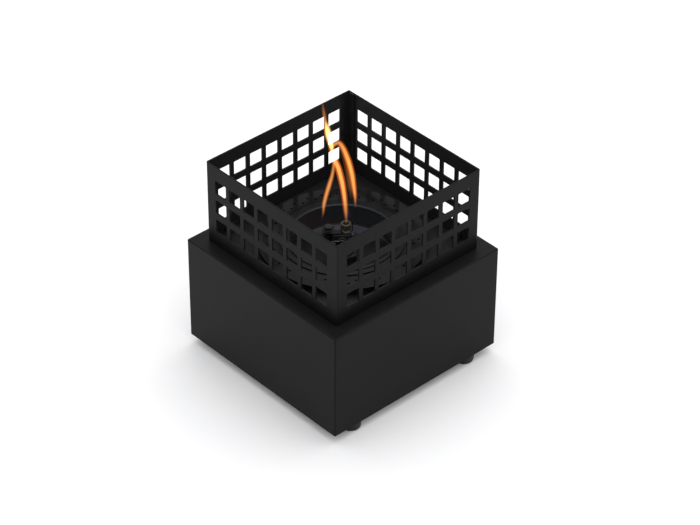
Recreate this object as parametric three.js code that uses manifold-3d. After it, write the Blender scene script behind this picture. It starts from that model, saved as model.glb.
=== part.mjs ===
// Tabletop gas fireplace: a square sheet-steel base on rubber feet, a lift-off grille of four perforated
// walls, and a round burner insert that carries its own gas cartridge. Lengths are in millimetres, +Z is up
// and the origin is on the table, under the middle of the base. The -Y and +X walls are the two front faces.
import * as THREE from 'three';
import { RoundedBoxGeometry } from 'three/addons/geometries/RoundedBoxGeometry.js';
import { mergeGeometries, mergeVertices } from 'three/addons/utils/BufferGeometryUtils.js';
import Module from 'manifold-3d';

// Shared clearances
const seatGap = 0.3; // between two pieces that rest on or touch each other
const runningGap = 0.4; // round a piece that turns or slides in another
const cutOverrun = 2; // how far a cutter passes the face that it cuts

// Base
const baseSide = 200;
const baseHeight = 109.4; // from the lower edge of the walls to the deck
const baseSheet = 1.5;
const baseEdgeRadius = 2;
const bracketWidth = 22;
const bracketHeight = 15;
const bracketSheet = 1.5;
const bottomSheet = 1.2;
const ventLength = 44;
const ventWidth = 3;
const ventPitch = 8;
const ventClearance = 7; // from the cartridge to the nearest vent
const ventsPerSide = 3;

// Feet and their fasteners
const footRadius = 10;
const footHeight = 9.5;
const footChamfer = 1.2;
const footInsetX = 11;
const footInsetY = 29;
const footScrewRadius = 2;
const footScrewHeadRadius = 3.9;
const footScrewHeadHeight = 2.4;
const footRubberUnderHead = 4.6;
const footNutAcrossFlats = 7;
const footNutHeight = 3.2;
const screwEndBeyondNut = 1;

// Grille
const ledgeWidth = 13.6; // of the deck outside the grille
const grilleHeight = 86.2;
const grilleSheet = 1.5;
const grilleBendRadius = 2.4;
const windowSize = 14.5;
const uprightBarWidth = 4.6;
const levelBarWidth = 6.7;
const leastWindowMargin = 12;
const lapLength = 8;
const bendReliefWidth = 2.4;
const bendReliefDepth = 3;

// Small angle clips: they stand on the deck inside the grille, and on the bottom plate round the cartridge
const locatorWidth = 14;
const locatorHeight = 6;
const locatorFootLength = 5.4;
const locatorFromCorner = 26.4;
const guideWidth = 12;
const guideHeight = 12;
const guideFootLength = 6;
const clipSheet = 1.2;
const cartridgeClearance = 0.6;

// Burner insert: plate and bowl
const plateToGrille = 7.4;
const plateSheet = 1.2;
const plateRise = 6.7; // top of the plate above the deck
const plateOpeningClearance = 1.4;
const plateHoleRadius = 1.2;
const holesPerRing = 30;
const outerRingInset = 8.8; // from the plate's rim
const innerRingInset = 12.7;
const firstHoleAngle = THREE.MathUtils.degToRad(4);
const standoffRadius = 3;
const standoffInset = 0.8; // from the plate's rim
const standoffCount = 4;
const flangeToHoles = 7.3;
const flangeWidth = 10.2; // from the rim of the flange to the inside of the bowl
const bowlDepth = 20; // from the top of the flange to the floor
const bowlSheet = 0.8;
const bowlCornerRadius = 4;
const beadWidth = 4.9;
const beadRise = 1.4;
const deckOpeningClearance = 1.9;

// Valve
const neckRadius = 10.2;
const neckHoleClearance = 0.5;
const neckHeight = 8.5; // above the shoulder
const shoulderRadius = 13;
const shoulderHeight = 12;
const gripRadius = 15;
const gripHeight = 11;
const gasketThickness = 1;
const valveNutAcrossFlats = 26;
const valveNutHeight = 5;
const pedestalRadius = 6.5;
const pedestalHeight = 10;
const headOffset = -1.35;
const headWidth = 13.7;
const headDepth = 13;
const headHeight = 9.7;
const gasBoreRadius = 1.2;
const burnerTurn = Math.PI / 4; // the burner's own X axis lies along the base's diagonal

// Nozzle, which stands a little to the right of the bowl's axis
const jetOffset = 2.9;
const jetBaseAcrossFlats = 6;
const jetBaseHeight = 2.2;
const jetRadius = 4.9;
const jetTaperHeight = 1.2;
const jetBarrelHeight = 2.6;
const jetGrooveHeight = 0.8;
const jetGrooveDepth = 0.8;
const jetCrownHeight = 2.1;
const jetEdge = 0.4;
const jetPortRadius = 2.6;
const jetPortDepth = 4.2;
const jetAirHoleRadius = 0.7;
const jetAirHoles = 8;

// Gas tap
const spindleRadius = 1.9;
const spindleStandOut = 7;
const glandAcrossFlats = 7;
const glandLength = 2.5;
const keyWireRadius = 0.8;
const keyReach = 9.2;
const keyLoopWidth = 5.4;
const keyAngle = THREE.MathUtils.degToRad(186);
const keySetback = 1.6; // from the spindle's end to the wire's middle

// Igniter
const igniterOffset = -13.1;
const igniterRadius = 3.8;
const igniterWall = 0.6;
const igniterFloor = 1.2;
const igniterLength = 15.7;
const igniterStandOut = 2.2; // above the head of the valve
const piezoHeight = 3.7;
const buttonLength = 5.7;
const buttonStandOut = 3.5;
const buttonCap = 1.2;
const buttonEdge = 0.3;
const springWireRadius = 0.3;
const springTurns = 4;
const bracketPlateSheet = 1.2;
const bracketPlateWidth = 11;
const bracketPlateMargin = 1.4;

// Electrode, which leans towards the nozzle
const electrodeFootOffset = 10.2;
const electrodeFootRise = 1.2; // above the pedestal
const electrodeLean = THREE.MathUtils.degToRad(17);
const insulatorRadius = 1.1;
const insulatorLength = 8.6;
const pinRadius = 0.4;
const pinInInsulator = 3;
const pinToJetGap = 1.2;
const pinTipAboveJet = 2.4;
const pinTipReach = 3.2;
const electrodeClipWall = 0.9;
const electrodeClipHeight = 3;
const electrodeClipWidth = 3;
const leadRadius = 0.8;
const leadBackset = 11;
const leadDrop = 3.2;

// Gas cartridge, whose can is as tall and as wide as the room under the valve and the deck opening let it be
const cartridgeToOpening = 5;
const canWall = 0.8;
const canBaseRecess = 6;
const canFootWidth = 3;
const domeHeight = 17;
const domeSeamHeight = 2;
const cupRadius = 17;
const cupDepth = 5.7;
const domeHoleRadius = 7;
const bossFlangeRadius = 9;
const bossFlangeThickness = 1.4;
const bossRadius = 5.55;
const bossBoreRadius = 1.6;
const bossRise = 8.7; // above the dome
const threadEngagement = 10;
const sealThickness = 1;

// Smoothness
const roundSides = 40;
const mediumSides = 24;
const smallSides = 12;
const holeSides = 6;
const wireSides = 8;
const wireSteps = 24;
const bendSteps = 2;

// Heights that follow from the sizes above
const deckZ = footHeight + baseHeight;
const bottomPlateZ = footHeight + seatGap;
const bottomPlateTopZ = bottomPlateZ + bottomSheet;
const onBottomPlateZ = bottomPlateTopZ + seatGap;
const footNutZ = onBottomPlateZ + bracketSheet + seatGap;
const onDeckZ = deckZ + seatGap;
const plateTopZ = deckZ + plateRise;
const plateUnderZ = plateTopZ - plateSheet;
const flangeUnderZ = plateTopZ + seatGap;
const flangeTopZ = flangeUnderZ + bowlSheet;
const bowlFloorZ = flangeTopZ - bowlDepth;
const bowlUnderZ = bowlFloorZ - bowlSheet;
const gasketZ = bowlUnderZ - seatGap - gasketThickness;
const shoulderZ = gasketZ - seatGap;
const neckTopZ = shoulderZ + neckHeight;
const headZ = neckTopZ + pedestalHeight;
const headTopZ = headZ + headHeight;
const gripTopZ = shoulderZ - shoulderHeight;
const gripFootZ = gripTopZ - gripHeight;
const jetBaseZ = headTopZ + seatGap;
const jetZ = jetBaseZ + jetBaseHeight + seatGap;
const jetGrooveZ = jetZ + jetTaperHeight + jetBarrelHeight;
const jetCrownZ = jetGrooveZ + jetGrooveHeight;
const jetTopZ = jetCrownZ + jetCrownHeight;
const spindleZ = headZ + headHeight / 2;
const igniterTopZ = headTopZ + igniterStandOut;
const igniterFootZ = igniterTopZ - igniterLength;
const piezoZ = igniterFootZ + igniterFloor + seatGap;
const piezoTopZ = piezoZ + piezoHeight;
const buttonTopZ = igniterTopZ + buttonStandOut;
const buttonFootZ = buttonTopZ - buttonLength;
const electrodeFootZ = headZ + electrodeFootRise;
const cartridgeTopZ = gripFootZ + threadEngagement;
const domeTopZ = cartridgeTopZ - bossRise;
const domeZ = domeTopZ - domeHeight;
const cupFloorZ = domeTopZ - cupDepth;

// Sides and radii that follow from the sizes above
const grilleSide = baseSide - 2 * ledgeWidth;
const plateRadius = grilleSide / 2 - grilleSheet - plateToGrille;
const outerRingRadius = plateRadius - outerRingInset;
const innerRingRadius = plateRadius - innerRingInset;
const flangeRadius = innerRingRadius - flangeToHoles;
const bowlRadius = flangeRadius - flangeWidth;
const bowlOuterRadius = bowlRadius + bowlSheet;
const deckOpeningRadius = bowlOuterRadius + deckOpeningClearance;
const plateOpeningRadius = bowlOuterRadius + plateOpeningClearance;
const canRadius = deckOpeningRadius - cartridgeToOpening;
const standoffCircleRadius = plateRadius - standoffInset - standoffRadius;
const screwHoleRadius = footScrewRadius + seatGap;
const buttonRadius = igniterRadius - igniterWall - runningGap;
const socketRadius = bossRadius + seatGap;
const tapBoreRadius = spindleRadius + runningGap;
const spindleInHead = headDepth / 2 + gasBoreRadius;

const wasm = await Module();
wasm.setup();

function finish(color, roughness, metalness) {
  return new THREE.MeshStandardMaterial({ color, roughness, metalness });
}

const powderCoat = finish(0x1b1b1d, 0.55, 0.2);
const enamel = finish(0x171719, 0.35, 0.2);
const stainless = finish(0xb4b3b8, 0.25, 1);
const zincSteel = finish(0x9a9a9c, 0.4, 1);
const darkMetal = finish(0x2a2a2c, 0.45, 0.8);
const brass = finish(0xb08d46, 0.3, 1);
const rubber = finish(0x0e0e0e, 0.8, 0);
const blackPlastic = finish(0x101011, 0.5, 0);
const ceramic = finish(0xe6e3da, 0.4, 0);
const cartridgePaint = finish(0xc9cccf, 0.35, 0.3);
const fibre = finish(0x6d4a34, 0.9, 0);

// Booleans work on welded triangle meshes, so normals and texture coordinates are dropped first.
function toSolid(geometry) {
  const bare = geometry.clone();
  bare.deleteAttribute('normal');
  bare.deleteAttribute('uv');
  const welded = mergeVertices(bare);
  return new wasm.Manifold(new wasm.Mesh({
    numProp: 3,
    vertProperties: new Float32Array(welded.attributes.position.array),
    triVerts: new Uint32Array(welded.index.array),
  }));
}

function toGeometry(solid) {
  const mesh = solid.getMesh();
  const geometry = new THREE.BufferGeometry();
  geometry.setAttribute('position', new THREE.BufferAttribute(mesh.vertProperties, mesh.numProp));
  geometry.setIndex(new THREE.BufferAttribute(mesh.triVerts, 1));
  geometry.computeVertexNormals();
  return geometry;
}

function cut(body, ...tools) {
  return toGeometry(tools.reduce((solid, tool) => solid.subtract(toSolid(tool)), toSolid(body)));
}

function join(body, ...others) {
  return toGeometry(others.reduce((solid, other) => solid.add(toSolid(other)), toSolid(body)));
}

// A box from its lowest to its highest corner
function block(lowX, lowY, lowZ, highX, highY, highZ) {
  const geometry = new THREE.BoxGeometry(highX - lowX, highY - lowY, highZ - lowZ);
  return geometry.translate((lowX + highX) / 2, (lowY + highY) / 2, (lowZ + highZ) / 2);
}

function outlineOf(places) {
  return new THREE.Shape(places.map(([x, y]) => new THREE.Vector2(x, y)));
}

function prism(outline, lowZ, highZ) {
  return new THREE.ExtrudeGeometry(outline, { depth: highZ - lowZ, bevelEnabled: false })
    .translate(0, 0, lowZ);
}

// A length of sheet or angle whose [x, z] outline is the same all along Y
function strip(places, halfLength) {
  return new THREE.ExtrudeGeometry(outlineOf(places), { depth: 2 * halfLength, bevelEnabled: false })
    .rotateX(Math.PI / 2).translate(0, halfLength, 0);
}

function upright(radius, lowZ, highZ, sides) {
  const geometry = new THREE.CylinderGeometry(radius, radius, highZ - lowZ, sides);
  return geometry.rotateX(Math.PI / 2).translate(0, 0, (lowZ + highZ) / 2);
}

// A cutter for a round hole: its flats, not its corners, lie at the hole's radius.
function holeCutter(radius, lowZ, highZ, sides) {
  return upright(radius / Math.cos(Math.PI / sides), lowZ - cutOverrun, highZ + cutOverrun, sides);
}

// A turned piece: the profile is a list of [radius, height] that runs up its outside
function turned(profile, sides) {
  const points = profile.map(([radius, height]) => new THREE.Vector2(radius, height));
  return new THREE.LatheGeometry(points, sides).rotateX(Math.PI / 2);
}

function ring(innerRadius, outerRadius, lowZ, highZ, sides) {
  return turned([
    [innerRadius, lowZ], [outerRadius, lowZ], [outerRadius, highZ], [innerRadius, highZ], [innerRadius, lowZ],
  ], sides);
}

function arcPoints(centreX, centreY, radius, from, to, steps) {
  return Array.from({ length: steps + 1 }, (_, step) => {
    const angle = from + ((to - from) * step) / steps;
    return [centreX + radius * Math.cos(angle), centreY + radius * Math.sin(angle)];
  });
}

function polygon(radius, sides) {
  return arcPoints(0, 0, radius, 0, 2 * Math.PI, sides).slice(0, sides);
}

function hexNut(acrossFlats, holeRadius, lowZ, highZ) {
  const outline = outlineOf(polygon(acrossFlats / Math.sqrt(3), 6));
  outline.holes.push(outlineOf(polygon(holeRadius / Math.cos(Math.PI / mediumSides), mediumSides)));
  return prism(outline, lowZ, highZ);
}

// A round wire or lead through a list of places
function wire(places, radius, steps) {
  const points = places.map((place) => new THREE.Vector3(...place));
  const extrudePath = new THREE.CatmullRomCurve3(points, false, 'centripetal');
  const section = outlineOf(polygon(radius, wireSides));
  return new THREE.ExtrudeGeometry(section, { steps, bevelEnabled: false, extrudePath });
}

function piece(name, geometry, material) {
  const mesh = new THREE.Mesh(geometry, material);
  mesh.name = name;
  return mesh;
}

function group(...members) {
  const made = new THREE.Group();
  made.add(...members);
  return made;
}

// Base

function baseShell() {
  const half = baseSide / 2;
  const blankHeight = baseHeight + 2 * baseEdgeRadius;
  const blank = new RoundedBoxGeometry(baseSide, baseSide, blankHeight, bendSteps, baseEdgeRadius)
    .translate(0, 0, deckZ - blankHeight / 2);
  const past = half + cutOverrun;
  const below = block(-past, -past, deckZ - blankHeight - cutOverrun, past, past, footHeight);
  const inner = half - baseSheet;
  const cavity = block(-inner, -inner, footHeight - cutOverrun, inner, inner, deckZ - baseSheet);
  return cut(blank, below, cavity, holeCutter(deckOpeningRadius, deckZ - baseSheet, deckZ, roundSides));
}

const footX = baseSide / 2 - footInsetX;
const footY = baseSide / 2 - footInsetY;
const footPlaces = [[footX, -footY], [footX, footY], [-footX, footY], [-footX, -footY]];

function screwHoles(lowZ, highZ) {
  return footPlaces.map(([x, y]) => holeCutter(screwHoleRadius, lowZ, highZ, smallSides).translate(x, y, 0));
}

// The angle strip on the -X wall; the other one is the same piece turned half a turn.
function sideBracket() {
  const wallX = -baseSide / 2 + baseSheet + seatGap;
  const halfLength = baseSide / 2 - baseSheet - seatGap;
  const lowZ = onBottomPlateZ;
  const angle = strip([
    [wallX, lowZ], [wallX + bracketWidth, lowZ], [wallX + bracketWidth, lowZ + bracketSheet],
    [wallX + bracketSheet, lowZ + bracketSheet], [wallX + bracketSheet, lowZ + bracketHeight],
    [wallX, lowZ + bracketHeight],
  ], halfLength);
  return cut(angle, ...screwHoles(lowZ, lowZ + bracketSheet));
}

function basePlate() {
  const half = baseSide / 2 - baseSheet - seatGap;
  const sheet = block(-half, -half, bottomPlateZ, half, half, bottomPlateTopZ);
  const vents = [];
  for (let side = 0; side < 4; side += 1) {
    for (let slot = 0; slot < ventsPerSide; slot += 1) {
      const near = canRadius + ventClearance + slot * ventPitch;
      vents.push(block(
        -ventLength / 2, near, bottomPlateZ - cutOverrun,
        ventLength / 2, near + ventWidth, bottomPlateTopZ + cutOverrun,
      ).rotateZ((side * Math.PI) / 2));
    }
  }
  return cut(sheet, ...vents, ...screwHoles(bottomPlateZ, bottomPlateTopZ));
}

function foot() {
  const recessRadius = footScrewHeadRadius + runningGap;
  const recessZ = footHeight - footRubberUnderHead;
  return turned([
    [recessRadius, 0], [footRadius - footChamfer, 0], [footRadius, footChamfer], [footRadius, footHeight],
    [screwHoleRadius, footHeight], [screwHoleRadius, recessZ], [recessRadius, recessZ], [recessRadius, 0],
  ], smallSides);
}

function footScrew() {
  const headTop = footHeight - footRubberUnderHead - seatGap;
  const headFoot = headTop - footScrewHeadHeight;
  const endZ = footNutZ + footNutHeight + screwEndBeyondNut;
  return turned([
    [0, headFoot], [footScrewHeadRadius, headFoot], [footScrewHeadRadius, headTop],
    [footScrewRadius, headTop], [footScrewRadius, endZ], [0, endZ],
  ], smallSides);
}

function footNut() {
  return hexNut(footNutAcrossFlats, screwHoleRadius, footNutZ, footNutZ + footNutHeight);
}

// A small L-shaped clip: its upright leg starts at faceX and its foot runs on from there along the reach.
function angleClip(faceX, lowZ, width, height, reach) {
  const sheet = Math.sign(reach) * clipSheet;
  return strip([
    [faceX, lowZ], [faceX + reach, lowZ], [faceX + reach, lowZ + clipSheet],
    [faceX + sheet, lowZ + clipSheet], [faceX + sheet, lowZ + height], [faceX, lowZ + height],
  ], width / 2);
}

// Two clips keep the grille near its left corner and two near its right corner.
function grilleLocator(index) {
  const wallX = grilleSide / 2 - grilleSheet - seatGap;
  const along = (index % 2 === 0 ? 1 : -1) * (grilleSide / 2 - locatorFromCorner);
  return angleClip(wallX, onDeckZ, locatorWidth, locatorHeight, -locatorFootLength).translate(0, along, 0);
}

function cartridgeGuide() {
  return angleClip(canRadius + cartridgeClearance, onBottomPlateZ, guideWidth, guideHeight, guideFootLength);
}

function makeBase() {
  const base = group(
    piece('base_shell', baseShell(), powderCoat),
    piece('side_bracket_left', sideBracket(), zincSteel),
    piece('side_bracket_right', sideBracket().rotateZ(Math.PI), zincSteel),
    piece('base_plate', basePlate(), zincSteel),
  );
  footPlaces.forEach(([x, y], index) => {
    const number = index + 1;
    const quarterTurns = (index * Math.PI) / 2;
    base.add(
      piece(`foot_${number}`, foot().translate(x, y, 0), rubber),
      piece(`foot_screw_${number}`, footScrew().translate(x, y, 0), zincSteel),
      piece(`foot_nut_${number}`, footNut().translate(x, y, 0), zincSteel),
      piece(`grille_locator_${number}`, grilleLocator(index).rotateZ(quarterTurns), powderCoat),
      piece(`cartridge_guide_${number}`, cartridgeGuide().rotateZ(quarterTurns + Math.PI / 4), zincSteel),
    );
  });
  return base;
}

// Grille

// The middles of as many windows as fit side by side in a length, with a bar between each two
function windowPlaces(length, barWidth) {
  const pitch = windowSize + barWidth;
  const count = Math.floor((length - 2 * leastWindowMargin + barWidth) / pitch);
  return Array.from({ length: count }, (_, index) => (index - (count - 1) / 2) * pitch);
}

// The windows of one wall, as cutters through the wall that stands at -Y
function wallWindows() {
  const outerY = -grilleSide / 2;
  const middleZ = onDeckZ + grilleHeight / 2;
  const rows = windowPlaces(grilleHeight, levelBarWidth);
  const columns = windowPlaces(grilleSide, uprightBarWidth);
  return mergeGeometries(rows.flatMap((z) => columns.map((x) => block(
    x - windowSize / 2, outerY - cutOverrun, middleZ + z - windowSize / 2,
    x + windowSize / 2, outerY + grilleSheet + cutOverrun, middleZ + z + windowSize / 2,
  ))));
}

// One folded panel: the wall at -Y, the wall at -X, and the lap that lies inside the other panel's +Y wall
function grillePanel() {
  const half = grilleSide / 2;
  const inner = half - grilleSheet;
  const lapY = inner - seatGap;
  const bendCentre = -half + grilleBendRadius;
  const insideBend = grilleBendRadius - grilleSheet;
  const outline = outlineOf([
    ...arcPoints(bendCentre, bendCentre, grilleBendRadius, Math.PI, 1.5 * Math.PI, bendSteps),
    [half, -half], [half, -inner],
    ...arcPoints(bendCentre, bendCentre, insideBend, 1.5 * Math.PI, Math.PI, bendSteps),
    [-inner, lapY - grilleSheet], [-inner + lapLength, lapY - grilleSheet], [-inner + lapLength, lapY],
    [-half, lapY],
  ]);
  const topZ = onDeckZ + grilleHeight;
  const windows = wallWindows();
  const relief = block(
    -inner, lapY - grilleSheet - cutOverrun, topZ - bendReliefDepth,
    -inner + bendReliefWidth, lapY + cutOverrun, topZ + cutOverrun,
  );
  return cut(prism(outline, onDeckZ, topZ), windows, windows.clone().rotateZ(-Math.PI / 2), relief);
}

function makeGrille() {
  return group(
    piece('grille_panel_left', grillePanel(), powderCoat),
    piece('grille_panel_right', grillePanel().rotateZ(Math.PI), powderCoat),
  );
}

// Burner insert

function surroundPlate() {
  const disc = ring(plateOpeningRadius, plateRadius, plateUnderZ, plateTopZ, roundSides);
  const holes = [];
  for (let hole = 0; hole < 2 * holesPerRing; hole += 1) {
    const angle = firstHoleAngle + (hole * Math.PI) / holesPerRing;
    const circle = hole % 2 === 0 ? innerRingRadius : outerRingRadius;
    holes.push(holeCutter(plateHoleRadius, plateUnderZ, plateTopZ, holeSides)
      .translate(circle * Math.cos(angle), circle * Math.sin(angle), 0));
  }
  return cut(disc, mergeGeometries(holes));
}

function plateStandoff(index) {
  const angle = ((index + 0.5) * 2 * Math.PI) / standoffCount;
  return upright(standoffRadius, onDeckZ, plateUnderZ - seatGap, smallSides)
    .translate(standoffCircleRadius, 0, 0).rotateZ(angle);
}

function burnerBowl() {
  const holeRadius = neckRadius + neckHoleClearance;
  const cornerX = bowlRadius - bowlCornerRadius;
  const cornerZ = bowlFloorZ + bowlCornerRadius;
  const bead = arcPoints(bowlRadius + beadWidth / 2, flangeTopZ, 1, 0, Math.PI, 2 * bendSteps).slice(1, -1);
  return turned([
    [holeRadius, bowlUnderZ],
    ...arcPoints(cornerX, cornerZ, bowlCornerRadius + bowlSheet, -Math.PI / 2, 0, bendSteps),
    [bowlOuterRadius, flangeUnderZ], [flangeRadius, flangeUnderZ], [flangeRadius, flangeTopZ],
    [bowlRadius + beadWidth, flangeTopZ],
    ...bead.map(([radius, height]) => [
      bowlRadius + beadWidth / 2 + (radius - bowlRadius - beadWidth / 2) * (beadWidth / 2),
      flangeTopZ + (height - flangeTopZ) * beadRise,
    ]),
    [bowlRadius, flangeTopZ],
    ...arcPoints(cornerX, cornerZ, bowlCornerRadius, 0, -Math.PI / 2, bendSteps),
    [holeRadius, bowlFloorZ], [holeRadius, bowlUnderZ],
  ], roundSides);
}

function bowlGasket() {
  const holeRadius = neckRadius + neckHoleClearance;
  return ring(holeRadius, shoulderRadius, gasketZ, gasketZ + gasketThickness, mediumSides);
}

function threadSeal() {
  const lowZ = cartridgeTopZ + seatGap;
  return ring(bossBoreRadius + seatGap, bossRadius, lowZ, lowZ + sealThickness, smallSides);
}

// Pieces of the tap are made along +Z, with the head's front face at zero, and are then laid along the -Y
// axis of the burner.
function towardsFront(geometry) {
  return geometry.rotateX(Math.PI / 2).translate(0, -headDepth / 2, spindleZ);
}

function valveBody() {
  const socketTopZ = cartridgeTopZ + sealThickness + 2 * seatGap;
  const stem = turned([
    [gasBoreRadius, socketTopZ], [socketRadius, socketTopZ], [socketRadius, gripFootZ],
    [gripRadius, gripFootZ], [gripRadius, gripTopZ], [shoulderRadius, gripTopZ],
    [shoulderRadius, shoulderZ], [neckRadius, shoulderZ], [neckRadius, neckTopZ],
    [pedestalRadius, neckTopZ], [pedestalRadius, spindleZ], [gasBoreRadius, spindleZ],
    [gasBoreRadius, socketTopZ],
  ], mediumSides);
  const head = block(
    headOffset - headWidth / 2, -headDepth / 2, headZ, headOffset + headWidth / 2, headDepth / 2, headTopZ,
  );
  const gasWay = upright(gasBoreRadius, headZ - cutOverrun, spindleZ, mediumSides);
  const jetWay = upright(gasBoreRadius, spindleZ, headTopZ + cutOverrun, smallSides)
    .translate(jetOffset, 0, 0);
  const tapBore = towardsFront(holeCutter(tapBoreRadius, -spindleInHead, 0, smallSides));
  return cut(join(stem, head), gasWay, jetWay, tapBore);
}

function valveNut() {
  const lowZ = bowlFloorZ + seatGap;
  return hexNut(valveNutAcrossFlats, neckRadius + seatGap, lowZ, lowZ + valveNutHeight);
}

function jetBase() {
  return hexNut(jetBaseAcrossFlats, gasBoreRadius, jetBaseZ, jetBaseZ + jetBaseHeight)
    .translate(jetOffset, 0, 0);
}

function jetNozzle() {
  const portZ = jetTopZ - jetPortDepth;
  const grooveRadius = jetRadius - jetGrooveDepth;
  const body = turned([
    [gasBoreRadius, jetZ], [jetBaseAcrossFlats / 2, jetZ], [jetRadius, jetZ + jetTaperHeight],
    [jetRadius, jetGrooveZ], [grooveRadius, jetGrooveZ], [grooveRadius, jetCrownZ], [jetRadius, jetCrownZ],
    [jetRadius, jetTopZ - jetEdge], [jetRadius - jetEdge, jetTopZ], [jetPortRadius, jetTopZ],
    [jetPortRadius, portZ], [gasBoreRadius, portZ], [gasBoreRadius, jetZ],
  ], smallSides);
  const airHoles = [];
  for (let hole = 0; hole < jetAirHoles; hole += 1) {
    airHoles.push(upright(jetAirHoleRadius, 0, jetRadius + cutOverrun, holeSides)
      .rotateX(Math.PI / 2).translate(0, 0, (jetCrownZ + jetTopZ) / 2)
      .rotateZ(((hole + 0.5) * 2 * Math.PI) / jetAirHoles));
  }
  return cut(body, ...airHoles).translate(jetOffset, 0, 0);
}

function glandNut() {
  return towardsFront(hexNut(glandAcrossFlats, tapBoreRadius, seatGap, seatGap + glandLength));
}

function valveSpindle() {
  return towardsFront(upright(spindleRadius, -spindleInHead, spindleStandOut, smallSides));
}

// The key is one bent wire: an open eye round the spindle, then a narrow loop that comes back beside it.
function controlKey() {
  const wireZ = spindleStandOut - keySetback;
  const eyeRadius = spindleRadius + seatGap + keyWireRadius;
  const loopRadius = keyLoopWidth / 2;
  const eye = arcPoints(0, 0, eyeRadius, -0.3 * Math.PI, -1.35 * Math.PI, 2 * bendSteps + 2).reverse();
  const loop = arcPoints(keyReach - loopRadius, 0, loopRadius, -Math.PI / 2, Math.PI / 2, 2 * bendSteps);
  const end = [eyeRadius + 2 * keyWireRadius, loopRadius];
  const places = [...eye, ...loop, end].map(([x, y]) => [x, y, wireZ]);
  return towardsFront(wire(places, keyWireRadius, wireSteps).rotateZ(keyAngle));
}

function igniterBody() {
  const bore = igniterRadius - igniterWall;
  const boreZ = igniterFootZ + igniterFloor;
  return turned([
    [0, igniterFootZ], [igniterRadius, igniterFootZ], [igniterRadius, igniterTopZ], [bore, igniterTopZ],
    [bore, boreZ], [0, boreZ],
  ], smallSides).translate(igniterOffset, 0, 0);
}

function igniterButton() {
  return turned([
    [0, buttonFootZ], [buttonRadius, buttonFootZ], [buttonRadius, buttonTopZ - buttonCap],
    [igniterRadius, buttonTopZ - buttonCap], [igniterRadius, buttonTopZ - buttonEdge],
    [igniterRadius - buttonEdge, buttonTopZ], [0, buttonTopZ],
  ], smallSides).translate(igniterOffset, 0, 0);
}

function piezoElement() {
  return upright(buttonRadius, piezoZ, piezoTopZ, smallSides).translate(igniterOffset, 0, 0);
}

function igniterSpring() {
  const lowZ = piezoTopZ + seatGap + springWireRadius;
  const highZ = buttonFootZ - seatGap - springWireRadius;
  const coilRadius = buttonRadius - 2 * springWireRadius;
  const steps = springTurns * wireSides;
  const places = Array.from({ length: steps + 1 }, (_, step) => {
    const angle = (2 * Math.PI * step) / wireSides;
    const height = lowZ + ((highZ - lowZ) * step) / steps;
    return [coilRadius * Math.cos(angle), coilRadius * Math.sin(angle), height];
  });
  return wire(places, springWireRadius, steps).translate(igniterOffset, 0, 0);
}

// A flat plate on the valve's head, with the igniter through its hole
function igniterBracket() {
  const lowX = igniterOffset - igniterRadius - seatGap - bracketPlateMargin;
  const highX = jetOffset - jetBaseAcrossFlats / Math.sqrt(3) - seatGap;
  const lowZ = headTopZ + seatGap;
  const highZ = lowZ + bracketPlateSheet;
  const plate = block(lowX, -bracketPlateWidth / 2, lowZ, highX, bracketPlateWidth / 2, highZ);
  const hole = holeCutter(igniterRadius + seatGap, lowZ, highZ, mediumSides).translate(igniterOffset, 0, 0);
  return cut(plate, hole);
}

// Turns a piece that is made upright from the origin into the electrode's own leaning place
function leaning(geometry) {
  return geometry.rotateY(-electrodeLean).translate(electrodeFootOffset, 0, electrodeFootZ);
}

// The place on the electrode's axis at some length above its foot
function onElectrode(length) {
  return [
    electrodeFootOffset - length * Math.sin(electrodeLean), 0,
    electrodeFootZ + length * Math.cos(electrodeLean),
  ];
}

function electrodeInsulator() {
  return leaning(ring(pinRadius + seatGap, insulatorRadius, 0, insulatorLength, smallSides));
}

function electrodeClip() {
  const collarRadius = insulatorRadius + seatGap + electrodeClipWall;
  const low = (insulatorLength - electrodeClipHeight) / 2;
  const high = low + electrodeClipHeight;
  const collar = leaning(upright(collarRadius, low, high, smallSides));
  const [tongueEnd, , lowZ] = onElectrode(low + insulatorRadius);
  const tongue = block(
    headOffset + headWidth / 2 + seatGap, -electrodeClipWidth / 2, lowZ,
    tongueEnd, electrodeClipWidth / 2, lowZ + clipSheet,
  );
  const hole = leaning(holeCutter(insulatorRadius + seatGap, low, high, smallSides));
  return cut(join(collar, tongue), hole);
}

function electrodePin() {
  const besideJet = jetOffset + jetRadius + pinToJetGap;
  return wire([
    onElectrode(insulatorLength - pinInInsulator),
    onElectrode(insulatorLength),
    [besideJet, 0, jetZ],
    [besideJet, 0, jetCrownZ],
    [besideJet - pinTipReach / 3, 0, jetTopZ + pinTipAboveJet / 2],
    [besideJet - pinTipReach, 0, jetTopZ + pinTipAboveJet],
  ], pinRadius, wireSteps / 2);
}

// The lead leaves the igniter's foot, passes behind the pedestal and comes up into the electrode's foot.
function igniterLead() {
  const startZ = igniterFootZ - seatGap;
  const lowZ = startZ - leadDrop;
  return wire([
    [igniterOffset, 0, startZ],
    [igniterOffset, 0, startZ - leadRadius],
    [igniterOffset + leadDrop, leadBackset / 2, lowZ],
    [igniterOffset / 2, leadBackset, lowZ],
    [jetOffset, leadBackset, lowZ],
    [electrodeFootOffset, leadBackset / 2, lowZ],
    onElectrode(-leadDrop),
    onElectrode(-seatGap),
  ], leadRadius, wireSteps);
}

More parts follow.
